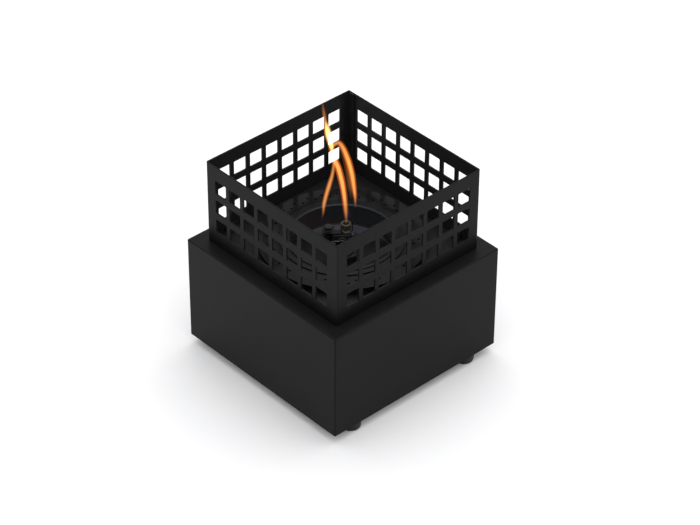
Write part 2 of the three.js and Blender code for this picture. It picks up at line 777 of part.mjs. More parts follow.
function makeBurner() {
  const burner = group(
    piece('valve_body', valveBody(), darkMetal),
    piece('valve_nut', valveNut(), darkMetal),
    piece('jet_base', jetBase(), brass),
    piece('jet_nozzle', jetNozzle(), brass),
    piece('gland_nut', glandNut(), brass),
    piece('valve_spindle', valveSpindle(), stainless),
    piece('control_key', controlKey(), stainless),
    piece('igniter_bracket', igniterBracket(), darkMetal),
    piece('igniter_body', igniterBody(), blackPlastic),
    piece('igniter_button', igniterButton(), darkMetal),
    piece('igniter_spring', igniterSpring(), stainless),
    piece('piezo_element', piezoElement(), ceramic),
    piece('electrode_clip', electrodeClip(), zincSteel),
    piece('electrode_insulator', electrodeInsulator(), ceramic),
    piece('electrode_pin', electrodePin(), stainless),
    piece('igniter_lead', igniterLead(), rubber),
  );
  burner.rotation.z = burnerTurn;
  return burner;
}

function makeInsert() {
  const insert = group(
    piece('surround_plate', surroundPlate(), enamel),
    piece('burner_bowl', burnerBowl(), stainless),
    piece('bowl_gasket', bowlGasket(), fibre),
    piece('thread_seal', threadSeal(), rubber),
    makeBurner(),
  );
  for (let index = 0; index < standoffCount; index += 1) {
    insert.add(piece(`plate_standoff_${index + 1}`, plateStandoff(index), powderCoat));
  }
  return insert;
}

// Gas cartridge

function cartridgeCan() {
  const footEdge = canRadius - canFootWidth;
  const inside = canRadius - canWall;
  const lowZ = onBottomPlateZ;
  const seamZ = domeZ - seatGap;
  return turned([
    [0, lowZ + canBaseRecess], [footEdge, lowZ], [inside, lowZ], [canRadius, lowZ + canWall],
    [canRadius, seamZ], [inside, seamZ], [inside, lowZ + 2 * canWall], [footEdge, lowZ + canWall],
    [0, lowZ + canBaseRecess + canWall],
  ], mediumSides);
}

// A quarter of an ellipse from the dome's shoulder to the rim of its cup, or back
function domeArc(radius, height, from, to) {
  return arcPoints(0, 0, 1, from, to, 2 * bendSteps).map(([across, up]) => (
    [cupRadius + (radius - cupRadius) * across, domeZ + domeSeamHeight + height * up]
  ));
}

function cartridgeDome() {
  const inside = canRadius - canWall;
  const rise = domeHeight - domeSeamHeight;
  return turned([
    [inside, domeZ], [canRadius, domeZ],
    ...domeArc(canRadius, rise, 0, Math.PI / 2),
    [cupRadius - canWall, cupFloorZ + canWall], [domeHoleRadius, cupFloorZ + canWall],
    [domeHoleRadius, cupFloorZ], [cupRadius, cupFloorZ],
    ...domeArc(inside, rise - canWall, Math.PI / 2, 0),
    [inside, domeZ],
  ], mediumSides);
}

function cartridgeBoss() {
  const lowZ = cupFloorZ + canWall + seatGap;
  const barrelZ = lowZ + bossFlangeThickness;
  return turned([
    [bossBoreRadius, lowZ], [bossFlangeRadius, lowZ], [bossFlangeRadius, barrelZ], [bossRadius, barrelZ],
    [bossRadius, cartridgeTopZ], [bossBoreRadius, cartridgeTopZ], [bossBoreRadius, lowZ],
  ], smallSides);
}

function makeCartridge() {
  return group(
    piece('cartridge_can', cartridgeCan(), cartridgePaint),
    piece('cartridge_dome', cartridgeDome(), cartridgePaint),
    piece('cartridge_boss', cartridgeBoss(), zincSteel),
  );
}

export default group(makeBase(), makeGrille(), makeInsert(), makeCartridge());
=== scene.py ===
"""A tabletop gas fireplace: finishes, fine meshes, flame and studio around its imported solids.

Sizes are in millimetres and are made metres as each mesh is made. The burner's own X axis lies along the
diagonal of the base, so its pieces are made straight and turned by an eighth of a turn.
"""

import logging
import math
from collections.abc import Callable, Sequence
from dataclasses import dataclass
from enum import Enum
from typing import Any

import bmesh
import bpy
from mathutils import Matrix, Vector


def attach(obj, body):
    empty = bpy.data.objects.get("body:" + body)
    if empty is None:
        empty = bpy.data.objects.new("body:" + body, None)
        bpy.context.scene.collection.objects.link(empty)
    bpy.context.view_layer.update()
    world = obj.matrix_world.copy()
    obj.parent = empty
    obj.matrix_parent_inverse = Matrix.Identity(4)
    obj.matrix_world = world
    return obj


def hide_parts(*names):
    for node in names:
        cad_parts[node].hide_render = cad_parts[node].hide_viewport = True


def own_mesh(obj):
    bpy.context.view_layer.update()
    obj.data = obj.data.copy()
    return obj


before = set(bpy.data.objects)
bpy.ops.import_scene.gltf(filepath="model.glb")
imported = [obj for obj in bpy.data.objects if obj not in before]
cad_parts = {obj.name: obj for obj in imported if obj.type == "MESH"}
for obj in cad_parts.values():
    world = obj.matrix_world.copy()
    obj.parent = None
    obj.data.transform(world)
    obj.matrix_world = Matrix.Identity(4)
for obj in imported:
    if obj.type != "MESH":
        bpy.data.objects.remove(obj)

LOG = logging.getLogger("fireplace")
MM = 0.001
WELD = 1e-7
Place = tuple[float, float, float]
Colour = tuple[float, float, float]
Station = tuple[float, ...]
Thing = bpy.types.Object

SHARP_FROM = 28
DOME_TURNS = (1.57, 1.2, 0.8, 0.4)
CHAMFER_SLOPE = math.tan(math.radians(30))
CHAMFER_START = 0.97
CHAMFER_SHARE = 1.15
BORE_EDGE = 0.06


class Body(Enum):
    """The bodies that a piece may ride on."""

    BASE = "base"
    GRILLE = "grille"
    INSERT = "insert"
    TAP = "gas_tap"
    BUTTON = "button"
    CARTRIDGE = "cartridge"


class Slot(Enum):
    """The record's material slots."""

    POWDER_COAT = "powder_coat"
    ENAMEL = "enamel"
    STAINLESS = "stainless"
    ZINC_STEEL = "zinc_steel"
    DARK_METAL = "dark_metal"
    BRASS = "brass"
    RUBBER = "rubber"
    LEAD_RUBBER = "lead_rubber"
    BLACK_PLASTIC = "black_plastic"
    CERAMIC = "ceramic"
    FIBRE = "fibre"
    CARTRIDGE_PAINT = "cartridge_paint"


class Cut(Enum):
    """How one closed mesh meets another."""

    TAKE_AWAY = "DIFFERENCE"
    JOIN = "UNION"


# Node trees


def math_method(operation: str, swapped: bool = False) -> Callable[..., "Value"]:
    """Makes an operator of Value.

    Args:
        operation: the Math node's operation.
        swapped: whether the value itself comes second.

    Returns:
        The method, which adds the node.
    """

    def add_node(*values: Any) -> "Value":
        """Adds the node to the value's own tree."""
        return values[0].tree.math(operation, *(reversed(values) if swapped else values))

    return add_node


class Value:
    """One output of a node. Arithmetic on it adds Math nodes to its tree."""

    def __init__(self, tree: "Tree", socket: bpy.types.NodeSocket) -> None:
        """Wraps a socket of a tree."""
        self.tree = tree
        self.socket = socket

    def output(self, name: str | int) -> "Value":
        """Gives another output of the same node."""
        return Value(self.tree, self.socket.node.outputs[name])

    __add__ = __radd__ = math_method("ADD")
    __sub__ = math_method("SUBTRACT")
    __rsub__ = math_method("SUBTRACT", swapped=True)
    __mul__ = __rmul__ = math_method("MULTIPLY")
    __truediv__ = math_method("DIVIDE")
    __gt__ = math_method("GREATER_THAN")
    __abs__ = math_method("ABSOLUTE")


class Tree:
    """A node tree of any kind, with one method that adds every node."""

    def __init__(self, node_tree: bpy.types.NodeTree) -> None:
        """Wraps a node tree."""
        self.nodes = node_tree.nodes
        self.links = node_tree.links

    def node(self, kind: str, sockets: dict[str | int, Any] | None = None, **settings: Any) -> Value:
        """Adds a node.

        Args:
            kind: the node's type.
            sockets: a number, colour or Value for each input, by name or index, or a list for a multi-input.
            settings: its properties, which are set first.

        Returns:
            The node's first output.
        """
        made = self.nodes.new(kind)
        for name, setting in settings.items():
            setattr(made, name, setting)
        for name, wanted in (sockets or {}).items():
            for one in wanted if isinstance(wanted, list) else [wanted]:
                if isinstance(one, Value):
                    self.links.new(one.socket, made.inputs[name])
                else:
                    made.inputs[name].default_value = one
        return Value(self, made.outputs[0] if made.outputs else made.inputs[0])

    def math(self, operation: str, *values: Value | float) -> Value:
        """Adds a Math node."""
        return self.node("ShaderNodeMath", dict(enumerate(values)), operation=operation)

    def combine(self, x: Value | float, y: Value | float, z: Value | float) -> Value:
        """Makes a vector from three numbers."""
        return self.node("ShaderNodeCombineXYZ", {0: x, 1: y, 2: z})


class Shader(Tree):
    """The node tree of one material."""

    def __init__(self, name: str) -> None:
        """Makes an empty material.

        Args:
            name: the material's name.
        """
        self.material = bpy.data.materials.new(name)
        self.material.use_nodes = True
        super().__init__(self.material.node_tree)
        self.nodes.clear()
        self.end = self.node("ShaderNodeOutputMaterial").socket.node

    def place(self) -> Value:
        """Gives the place on the object, in metres."""
        return self.node("ShaderNodeTexCoord").output("Object")

    def axes(self) -> Value:
        """Gives the place on the object, as outputs named X, Y and Z."""
        return self.node("ShaderNodeSeparateXYZ", {0: self.place()})

    def stretched(self, x: float, y: float, z: float) -> Value:
        """Gives the place on the object, with each axis scaled."""
        return self.node("ShaderNodeMapping", {"Vector": self.place(), "Scale": (x, y, z)})

    def radius(self) -> Value:
        """Gives the distance from the object's vertical axis."""
        flat = self.stretched(1, 1, 0)
        return self.node("ShaderNodeVectorMath", {0: flat}, operation="LENGTH").output("Value")

    def noise(self, scale: float, detail: float, roughness: float = 0.5, place: Value | None = None) -> Value:
        """Adds a noise.

        Args:
            scale: its lumps to the metre.
            detail: its octaves.
            roughness: how strong the finer octaves are.
            place: where it is read, or None for the place on the object.

        Returns:
            The noise, from 0 to 1.
        """
        sockets = {"Vector": place or self.place(), "Scale": scale, "Detail": detail, "Roughness": roughness}
        return self.node("ShaderNodeTexNoise", sockets)

    def band(self, value: Value, low: float, high: float, low_out: float = 0, high_out: float = 1) -> Value:
        """Maps a stretch of values onto another, and holds it at both ends."""
        ends = {"From Min": low, "From Max": high, "To Min": low_out, "To Max": high_out}
        return self.node("ShaderNodeMapRange", {"Value": value, **ends}, clamp=True)

    def mix(self, share: Value, first: Any, second: Any) -> Value:
        """Mixes two colours, each a colour or a Value, by the share of the second one."""
        sides = [(*side, 1) if isinstance(side, tuple) else side for side in (first, second)]
        return self.node("ShaderNodeMix", {0: share, 6: sides[0], 7: sides[1]}, data_type="RGBA").output(2)

    def blend(self, value: Value, low: float, high: float, first: Any, second: Any) -> Value:
        """Mixes two colours over a stretch of values."""
        return self.mix(self.band(value, low, high), first, second)

    def bump(self, height: Value, depth: float, strength: float, normal: Value | None = None) -> Value:
        """Adds a bump.

        Args:
            height: its height, from 0 to 1.
            depth: how deep 1 is, in metres.
            strength: its share.
            normal: the bump that it lies on.

        Returns:
            The normal.
        """
        sockets = {"Height": height, "Distance": depth, "Strength": strength}
        if normal:
            sockets["Normal"] = normal
        return self.node("ShaderNodeBump", sockets)

    def surface(self, colour: Any, roughness: Any, **sockets: Any) -> None:
        """Ends the tree in a Principled surface.

        Args:
            colour: the base colour, or a Value.
            roughness: the roughness, or a Value.
            sockets: other sockets, by their names with underscores.
        """
        named = {name.replace("_", " "): wanted for name, wanted in sockets.items()}
        base = (*colour, 1) if isinstance(colour, tuple) else colour
        shader = self.node("ShaderNodeBsdfPrincipled", {"Base Color": base, "Roughness": roughness, **named})
        self.links.new(shader.socket, self.end.inputs["Surface"])


class GeometryTree(Tree):
    """A Geometry Nodes tree with named inputs, which is run once and leaves a plain mesh."""

    def __init__(self, name: str) -> None:
        """Makes a tree with a geometry going in and one coming out.

        Args:
            name: the tree's name.
        """
        self.group = bpy.data.node_groups.new(name, "GeometryNodeTree")
        super().__init__(self.group)
        for way in ("INPUT", "OUTPUT"):
            self.group.interface.new_socket("Geometry", in_out=way, socket_type="NodeSocketGeometry")
        self.entry = self.node("NodeGroupInput").socket.node
        self.settings: dict[str, Any] = {}

    def given(self) -> Value:
        """Gives the geometry that comes in."""
        return Value(self, self.entry.outputs["Geometry"])

    def setting(self, name: str, kind: str, value: Any) -> Value:
        """Adds a named input.

        Args:
            name: the input's name.
            kind: its socket type, without NodeSocket.
            value: what the modifier sets it to.

        Returns:
            The input's value.
        """
        socket = self.group.interface.new_socket(name, in_out="INPUT", socket_type="NodeSocket" + kind)
        self.settings[socket.identifier] = value
        return Value(self, self.entry.outputs[name])

    def size(self, name: str, millimetres: float) -> Value:
        """Adds a named input for a length."""
        return self.setting(name, "Float", millimetres * MM)

    def count(self, name: str, number: int) -> Value:
        """Adds a named input for a number of pieces."""
        return self.setting(name, "Int", number)

    def moved(self, geometry: Value, place: Any = (0, 0, 0), turn: Any = (0, 0, 0)) -> Value:
        """Moves and turns a geometry."""
        sockets = {"Geometry": geometry, "Translation": place, "Rotation": turn}
        return self.node("GeometryNodeTransform", sockets)

    def repeated(self, points: Value, instance: Value, turn: Any = (0, 0, 0)) -> Value:
        """Puts a copy on each point.

        Args:
            points: the points.
            instance: what is copied.
            turn: the turn of each copy.

        Returns:
            The copies, as one geometry.
        """
        sockets = {"Points": points, "Instance": instance, "Rotation": turn}
        return self.node(
            "GeometryNodeRealizeInstances", {"Geometry": self.node("GeometryNodeInstanceOnPoints", sockets)}
        )

    def round_about(self, count: Value, instance: Value, start: float = 0) -> Value:
        """Turns copies of a geometry evenly round the vertical axis, the first one by a start angle.

        Args:
            count: how many copies.
            instance: what is copied.
            start: the first copy's angle.

        Returns:
            The copies, as one geometry.
        """
        points = self.node("GeometryNodePoints", {"Count": count})
        angle = self.node("GeometryNodeInputIndex") * math.tau / count + start
        return self.repeated(points, instance, self.combine(0, 0, angle))

    def grid(self, size_x: Value, size_y: Value, count_x: Any, count_y: Any) -> Value:
        """Gives a level grid of points round the origin."""
        sizes = {"Size X": size_x, "Size Y": size_y}
        return self.node("GeometryNodeMeshGrid", {**sizes, "Vertices X": count_x, "Vertices Y": count_y})

    def rectangle(self, width: Value, height: Value, corner: Value, steps: int) -> Value:
        """Gives the outline of a flat rectangle, with each corner rounded in so many steps.

        Args:
            width: its width.
            height: its height.
            corner: the radius of its corners.
            steps: the steps in each corner.

        Returns:
            The outline.
        """
        sharp = self.node("GeometryNodeCurvePrimitiveQuadrilateral", {"Width": width, "Height": height})
        rounding = {"Curve": sharp, "Radius": corner, "Count": steps}
        return self.node("GeometryNodeFilletCurve", rounding, mode="POLY")

    def round_outline(self, radius: Value, sides: int) -> Value:
        """Gives the outline of a flat circle."""
        return self.node("GeometryNodeCurvePrimitiveCircle", {"Resolution": sides, "Radius": radius})

    def swept(self, path: Value, outline: Value) -> Value:
        """Runs an outline along a curve and closes both ends.

        Args:
            path: the curve.
            outline: the outline.

        Returns:
            The closed mesh.
        """
        return self.node(
            "GeometryNodeCurveToMesh", {"Curve": path, "Profile Curve": outline, "Fill Caps": True}
        )

    def hole_cutter(self, outline: Value, width: Value, sheet: Value, flare: Value) -> Value:
        """Makes the cutter of one hole through a sheet that lies from zero up to its thickness.

        Args:
            outline: the hole's outline, as a flat curve.
            width: the hole's width.
            sheet: the sheet's thickness.
            flare: how far the hole's edges are broken.

        Returns:
            The cutter, which flares by the same at both faces.
        """
        side = self.node("GeometryNodeInputIndex") - 1.5
        at_end = abs(side) > 1
        height = sheet / 2 + self.math("SIGN", side) * (sheet / 2 - flare + 2 * flare * at_end)
        line = self.node("GeometryNodeMeshLine", {"Count": 4})
        raised = {"Geometry": line, "Position": self.combine(0, 0, height)}
        path = self.node("GeometryNodeMeshToCurve", {"Mesh": self.node("GeometryNodeSetPosition", raised)})
        widened = {"Curve": path, "Radius": 1 + 4 * flare / width * at_end}
        return self.swept(self.node("GeometryNodeSetCurveRadius", widened), outline)

    def without(self, *cutters: Value) -> Value:
        """Takes the cutters out of the geometry that comes in."""
        sockets = {"Mesh 1": self.given(), "Mesh 2": list(cutters)}
        return self.node("GeometryNodeMeshBoolean", sockets, operation="DIFFERENCE", solver="EXACT")

    def run(self, thing: Thing, result: Value, finish: "Finish") -> Thing:
        """Closes the tree, runs it on an object and leaves the result as its plain mesh.

        Args:
            thing: the object whose mesh comes in.
            result: the geometry that goes out.
            finish: what the result is finished in.

        Returns:
            The same object.
        """
        material = self.setting("Material", "Material", finish.material())
        whole = self.node("GeometryNodeRealizeInstances", {"Geometry": result})
        self.node(
            "NodeGroupOutput",
            {0: self.node("GeometryNodeSetMaterial", {"Geometry": whole, "Material": material})},
        )
        modifier = thing.modifiers.new(self.group.name, "NODES")
        modifier.node_group = self.group
        for identifier, value in self.settings.items():
            modifier[identifier] = value
        return settled(thing)


# Meshes


def settled(thing: Thing) -> Thing:
    """Turns what an object's modifiers show into its own plain mesh, and drops them.

    Args:
        thing: the object.

    Returns:
        The same object.
    """
    depsgraph = bpy.context.evaluated_depsgraph_get()
    mesh = bpy.data.meshes.new_from_object(thing.evaluated_get(depsgraph), depsgraph=depsgraph)
    thing.modifiers.clear()
    thing.data = mesh
    return thing


def smoothed(thing: Thing, angle: float = SHARP_FROM) -> Thing:
    """Shades an object smooth up to an angle in degrees, with flat faces that stay flat.

    Args:
        thing: the object.
        angle: the angle, in degrees.

    Returns:
        The same object.
    """
    thing.data.shade_smooth()
    thing.data.set_sharp_from_angle(angle=math.radians(angle))
    weighted = thing.modifiers.new("even normals", "WEIGHTED_NORMAL")
    weighted.keep_sharp = True
    return settled(thing)


def mesh_object(name: str, places: Sequence[Place], faces: Sequence[Sequence[int]]) -> Thing:
    """Makes an object from places in millimetres, welded and with its faces outwards.

    Args:
        name: the piece's name.
        places: its vertices.
        faces: its faces, as indices of places.

    Returns:
        The object, at the origin.
    """
    mesh = bpy.data.meshes.new(name)
    mesh.from_pydata([Vector(place) * MM for place in places], [], faces)
    work = bmesh.new()
    work.from_mesh(mesh)
    bmesh.ops.remove_doubles(work, verts=work.verts, dist=WELD)
    bmesh.ops.recalc_face_normals(work, faces=work.faces)
    work.to_mesh(mesh)
    work.free()
    thing = bpy.data.objects.new(name, mesh)
    bpy.context.scene.collection.objects.link(thing)
    return thing


def loft(name: str, loops: Sequence[Sequence[Place]], closed: bool = False) -> Thing:
    """Skins a row of loops that have the same number of places.

    Args:
        name: the piece's name.
        loops: the loops, in order.
        closed: whether the last loop joins the first, or both are capped.

    Returns:
        The object.
    """
    count = len(loops[0])
    last = (len(loops) - 1) * count
    faces: list[Sequence[int]] = []
    for row in range(len(loops) if closed else len(loops) - 1):
        here = row * count
        there = (row + 1) % len(loops) * count
        for step in range(count):
            after = (step + 1) % count
            faces.append((here + step, here + after, there + after, there + step))
    if not closed:
        faces += [range(count), range(last, last + count)]
    return mesh_object(name, [place for loop in loops for place in loop], faces)


def turns_of(sides: int) -> list[float]:
    """Gives the angles of a round's places."""
    return [math.tau * side / sides for side in range(sides)]


def circle(radius: float, height: float, sides: int) -> list[Place]:
    """Gives the places of a level circle round the vertical axis."""
    return [(radius * math.cos(turn), radius * math.sin(turn), height) for turn in turns_of(sides)]


def eased(stations: Sequence[Station], steps: int) -> list[tuple[float, float]]:
    """Rounds the corners of a closed outline.

    Args:
        stations: the corners, each with a radius as its third number where it is rounded.
        steps: the straight pieces in each rounded corner.

    Returns:
        The outline's places.
    """
    outline: list[tuple[float, float]] = []
    for index, station in enumerate(stations):
        corner = Vector(station[:2])
        if len(station) < 3:
            outline.append(tuple(corner))
            continue
        before = Vector(stations[index - 1][:2]) - corner
        after = Vector(stations[(index + 1) % len(stations)][:2]) - corner
        half = before.angle(after) / 2
        run = min(station[2] / math.tan(half), 0.49 * before.length, 0.49 * after.length)
        radius = run * math.tan(half)
        before.normalize()
        after.normalize()
        centre = corner + (before + after).normalized() * (radius / math.sin(half))
        start = corner + before * run - centre
        swing = start.angle_signed(corner + after * run - centre)
        for step in range(steps + 1):
            spoke = Matrix.Rotation(-swing * step / steps, 2) @ start
            outline.append(tuple(centre + spoke))
    return outline


def turned(name: str, stations: Sequence[Station], sides: int = 64, steps: int = 4) -> Thing:
    """Turns a closed outline round the vertical axis.

    Args:
        name: the piece's name.
        stations: the outline's distance from the axis, height and corner radius.
        sides: the sides of the round.
        steps: the pieces of each rounded corner.

    Returns:
        The object.
    """
    loops = [circle(max(radius, 0), height, sides) for radius, height in eased(stations, steps)]
    return loft(name, loops, closed=True)


def rod(name: str, radius: float, low: float, high: float, edge: Station = (), sides: int = 32) -> Thing:
    """Makes an upright rod, with a radius in edge where its two edges are rounded."""
    return turned(name, [(0, low), (radius, low, *edge), (radius, high, *edge), (0, high)], sides)


def smooth_path(places: Sequence[Place], steps: int = 6) -> list[Vector]:
    """Runs a smooth curve through places, in so many steps between each two.

    Args:
        places: the places.
        steps: the steps between each two.

    Returns:
        The places along the curve.
    """
    knots = [Vector(place) for place in places]
    knots = [2 * knots[0] - knots[1], *knots, 2 * knots[-1] - knots[-2]]
    path: list[Vector] = []
    for index in range(1, len(knots) - 2):
        p0, p1, p2, p3 = knots[index - 1 : index + 3]
        square = 2 * p0 - 5 * p1 + 4 * p2 - p3
        cube = 3 * p1 - p0 - 3 * p2 + p3
        for t in (step / steps for step in range(steps)):
            path.append(0.5 * (2 * p1 + (p2 - p0) * t + square * t**2 + cube * t**3))
    return [*path, knots[-2]]


def tube(name: str, path: Sequence[Vector], radius: float | Sequence[float], sides: int = 16) -> Thing:
    """Makes a round wire with domed ends along a path.

    Args:
        name: the piece's name.
        path: the places of its middle.
        radius: its radius, or one for each place.
        sides: the sides of the round.

    Returns:
        The object.
    """
    radii = list(radius) if isinstance(radius, Sequence) else [radius] * len(path)
    last = len(path) - 1
    tangents = [(path[min(at + 1, last)] - path[max(at - 1, 0)]).normalized() for at in range(last + 1)]
    across = tangents[0].orthogonal().normalized()
    stations: list[tuple[Vector, float, Vector, Vector]] = []
    for place, size, tangent in zip(path, radii, tangents, strict=True):
        across = (across - tangent * across.dot(tangent)).normalized()
        stations.append((place, size, tangent, across))
    domes = [(math.sin(turn), math.cos(turn)) for turn in DOME_TURNS]
    place, size, *ways = stations[0]
    head = [(place - ways[0] * size * out, size * share, *ways) for out, share in domes]
    place, size, *ways = stations[-1]
    tail = [(place + ways[0] * size * out, size * share, *ways) for out, share in reversed(domes)]
    loops = []
    for place, size, tangent, side in head + stations + tail:
        other = tangent.cross(side)
        spokes = [side * math.cos(turn) + other * math.sin(turn) for turn in turns_of(sides)]
        loops.append([tuple(place + size * spoke) for spoke in spokes])
    return loft(name, loops)


def hexagon(across_flats: float, turn: float) -> float:
    """Gives a hexagon's reach from its middle in one direction."""
    sector = math.tau / 6
    return across_flats / 2 / math.cos((turn + sector / 2) % sector - sector / 2)


def hex_nut(name: str, across_flats: float, hole: float, low: float, high: float, sides: int = 72) -> Thing:
    """Makes a hexagon nut whose corners are turned down at both ends.

    Args:
        name: the piece's name.
        across_flats: its width across flats.
        hole: the radius of its hole.
        low: its lower face.
        high: its upper face.
        sides: the sides of the round.

    Returns:
        The object.
    """
    drop = (across_flats / math.sqrt(3) - across_flats / 2) * CHAMFER_SLOPE * CHAMFER_SHARE
    rise = [drop * step / 3 for step in range(4)]
    levels = [(low + up, up) for up in rise] + [(high - up, up) for up in reversed(rise)]
    loops = []
    for height, up in levels:
        cone = across_flats / 2 * CHAMFER_START + up / CHAMFER_SLOPE
        reach = [(min(cone, hexagon(across_flats, turn)), turn) for turn in turns_of(sides)]
        loops.append([(far * math.cos(turn), far * math.sin(turn), height) for far, turn in reach])
    edge = BORE_EDGE * hole
    bore = [(hole + edge, high), (hole, high - edge), (hole, low + edge), (hole + edge, low)]
    loops += [circle(radius, height, sides) for radius, height in bore]
    return loft(name, loops, closed=True)


def eased_box(name: str, low: Place, high: Place, edge: float, segments: int = 3) -> Thing:
    """Makes a box with rounded edges.

    Args:
        name: the piece's name.
        low: its lowest corner.
        high: its highest corner.
        edge: the radius of its edges.
        segments: the pieces of each rounded edge.

    Returns:
        The object.
    """
    corners = [(x, y, z) for z in (low[2], high[2]) for y in (low[1], high[1]) for x in (low[0], high[0])]
    faces = [(0, 2, 3, 1), (4, 5, 7, 6), (0, 1, 5, 4), (1, 3, 7, 5), (3, 2, 6, 7), (2, 0, 4, 6)]
    box = mesh_object(name, corners, faces)
    bevel = box.modifiers.new("edges", "BEVEL")
    bevel.width = edge * MM
    bevel.segments = segments
    return settled(box)


def combined(thing: Thing, other: Thing, cut: Cut) -> Thing:
    """Joins another closed mesh to an object's, or takes it away, and uses the other object up.

    Args:
        thing: the object that stays.
        other: the object that is used up.
        cut: how they meet.

    Returns:
        The object that stays.
    """
    boolean = thing.modifiers.new("cut", "BOOLEAN")
    boolean.operation = cut.value
    boolean.solver = "EXACT"
    boolean.object = other
    settled(thing)
    bpy.data.objects.remove(other)
    return thing


def shifted(thing: Thing, x: float = 0, y: float = 0, z: float = 0) -> Thing:
    """Moves an object's mesh by millimetres."""
    thing.data.transform(Matrix.Translation(Vector((x, y, z)) * MM))
    return thing


def spun(thing: Thing, degrees: float, axis: str = "Z") -> Thing:
    """Turns an object's mesh about an axis through the origin."""
    thing.data.transform(Matrix.Rotation(math.radians(degrees), 4, axis))
    return thing


# Finishes


@dataclass(frozen=True)
class Finish:
    """What every finish has. Colours are linear and lengths are in metres."""

    name: str
    slot: Slot

    def paint(self, shader: Shader) -> None:
        """Fills the material's empty tree."""
        raise NotImplementedError

    def material(self) -> bpy.types.Material:
        """Gives the material, which is made the first time.

        Returns:
            The material.
        """
        found = bpy.data.materials.get(self.name)
        if found is None:
            shader = Shader(self.name)
            self.paint(shader)
            found = shader.material
        return found


@dataclass(frozen=True)
class PowderCoat(Finish):
    """Satin black powder coat with a fine orange peel, and painted fill light on the deck and inside the
    grille.
    """

    colour: Colour = (0.0043, 0.0043, 0.0047)
    worn: Colour = (0.0063, 0.0063, 0.0067)
    painted_fill_light: Colour = (0.0124, 0.0124, 0.0126)
    fill_reach: float = 0.0857
    fill_floor: float = 0.1183
    deck: float = 0.1189
    blend: float = 0.0002
    ledge_share: float = 0.5
    roughness: float = 0.40
    gloss: float = 0.08
    peel: float = 900
    peel_depth: float = 0.00003
    cloud: float = 14

    def paint(self, shader: Shader) -> None:
        """Fills the tree.

        Args:
            shader: the material's empty tree.
        """
        peel = shader.noise(self.peel, 3, 0.55)
        cloud = shader.noise(self.cloud, 3)
        place = shader.axes()
        reach = shader.math("MAXIMUM", abs(place.output("X")), abs(place.output("Y")))
        inside = shader.band(reach, self.fill_reach + self.blend, self.fill_reach - self.blend)
        height = place.output("Z")
        above = shader.band(height, self.fill_floor - self.blend, self.fill_floor + self.blend)
        on_deck = self.ledge_share * shader.band(height, self.deck + self.blend, self.deck + self.blend / 2)
        coat = shader.blend(cloud, 0.35, 0.7, self.colour, self.worn)
        # Painted fill light: a lighter colour inside the grille and on the deck, on faces that lie in shade.
        colour = shader.mix(above * shader.math("MAXIMUM", inside, on_deck), coat, self.painted_fill_light)
        roughness = self.roughness + 0.10 * (cloud - 0.5) + 0.06 * (peel - 0.5)
        normal = shader.bump(peel, self.peel_depth, 0.6)
        shader.surface(colour, roughness, Specular_IOR_Level=self.gloss, Normal=normal)


@dataclass(frozen=True)
class Enamel(Finish):
    """Glossier black enamel, dulled in patches by heat."""

    colour: Colour = (0.0080, 0.0080, 0.0083)
    dulled: Colour = (0.0118, 0.0114, 0.0112)
    roughness: float = 0.15
    gloss: float = 0.07
    speck: float = 1600
    cloud: float = 45

    def paint(self, shader: Shader) -> None:
        """Fills the tree.

        Args:
            shader: the material's empty tree.
        """
        speck = shader.noise(self.speck, 2)
        cloud = shader.noise(self.cloud, 4, 0.6)
        dull = shader.band(cloud, 0.45, 0.75)
        colour = shader.mix(dull, self.colour, self.dulled)
        roughness = self.roughness + 0.08 * dull
        normal = shader.bump(speck, 0.000004, 0.5, shader.bump(cloud, 0.00006, 0.25))
        shader.surface(colour, roughness, Specular_IOR_Level=self.gloss, Normal=normal)


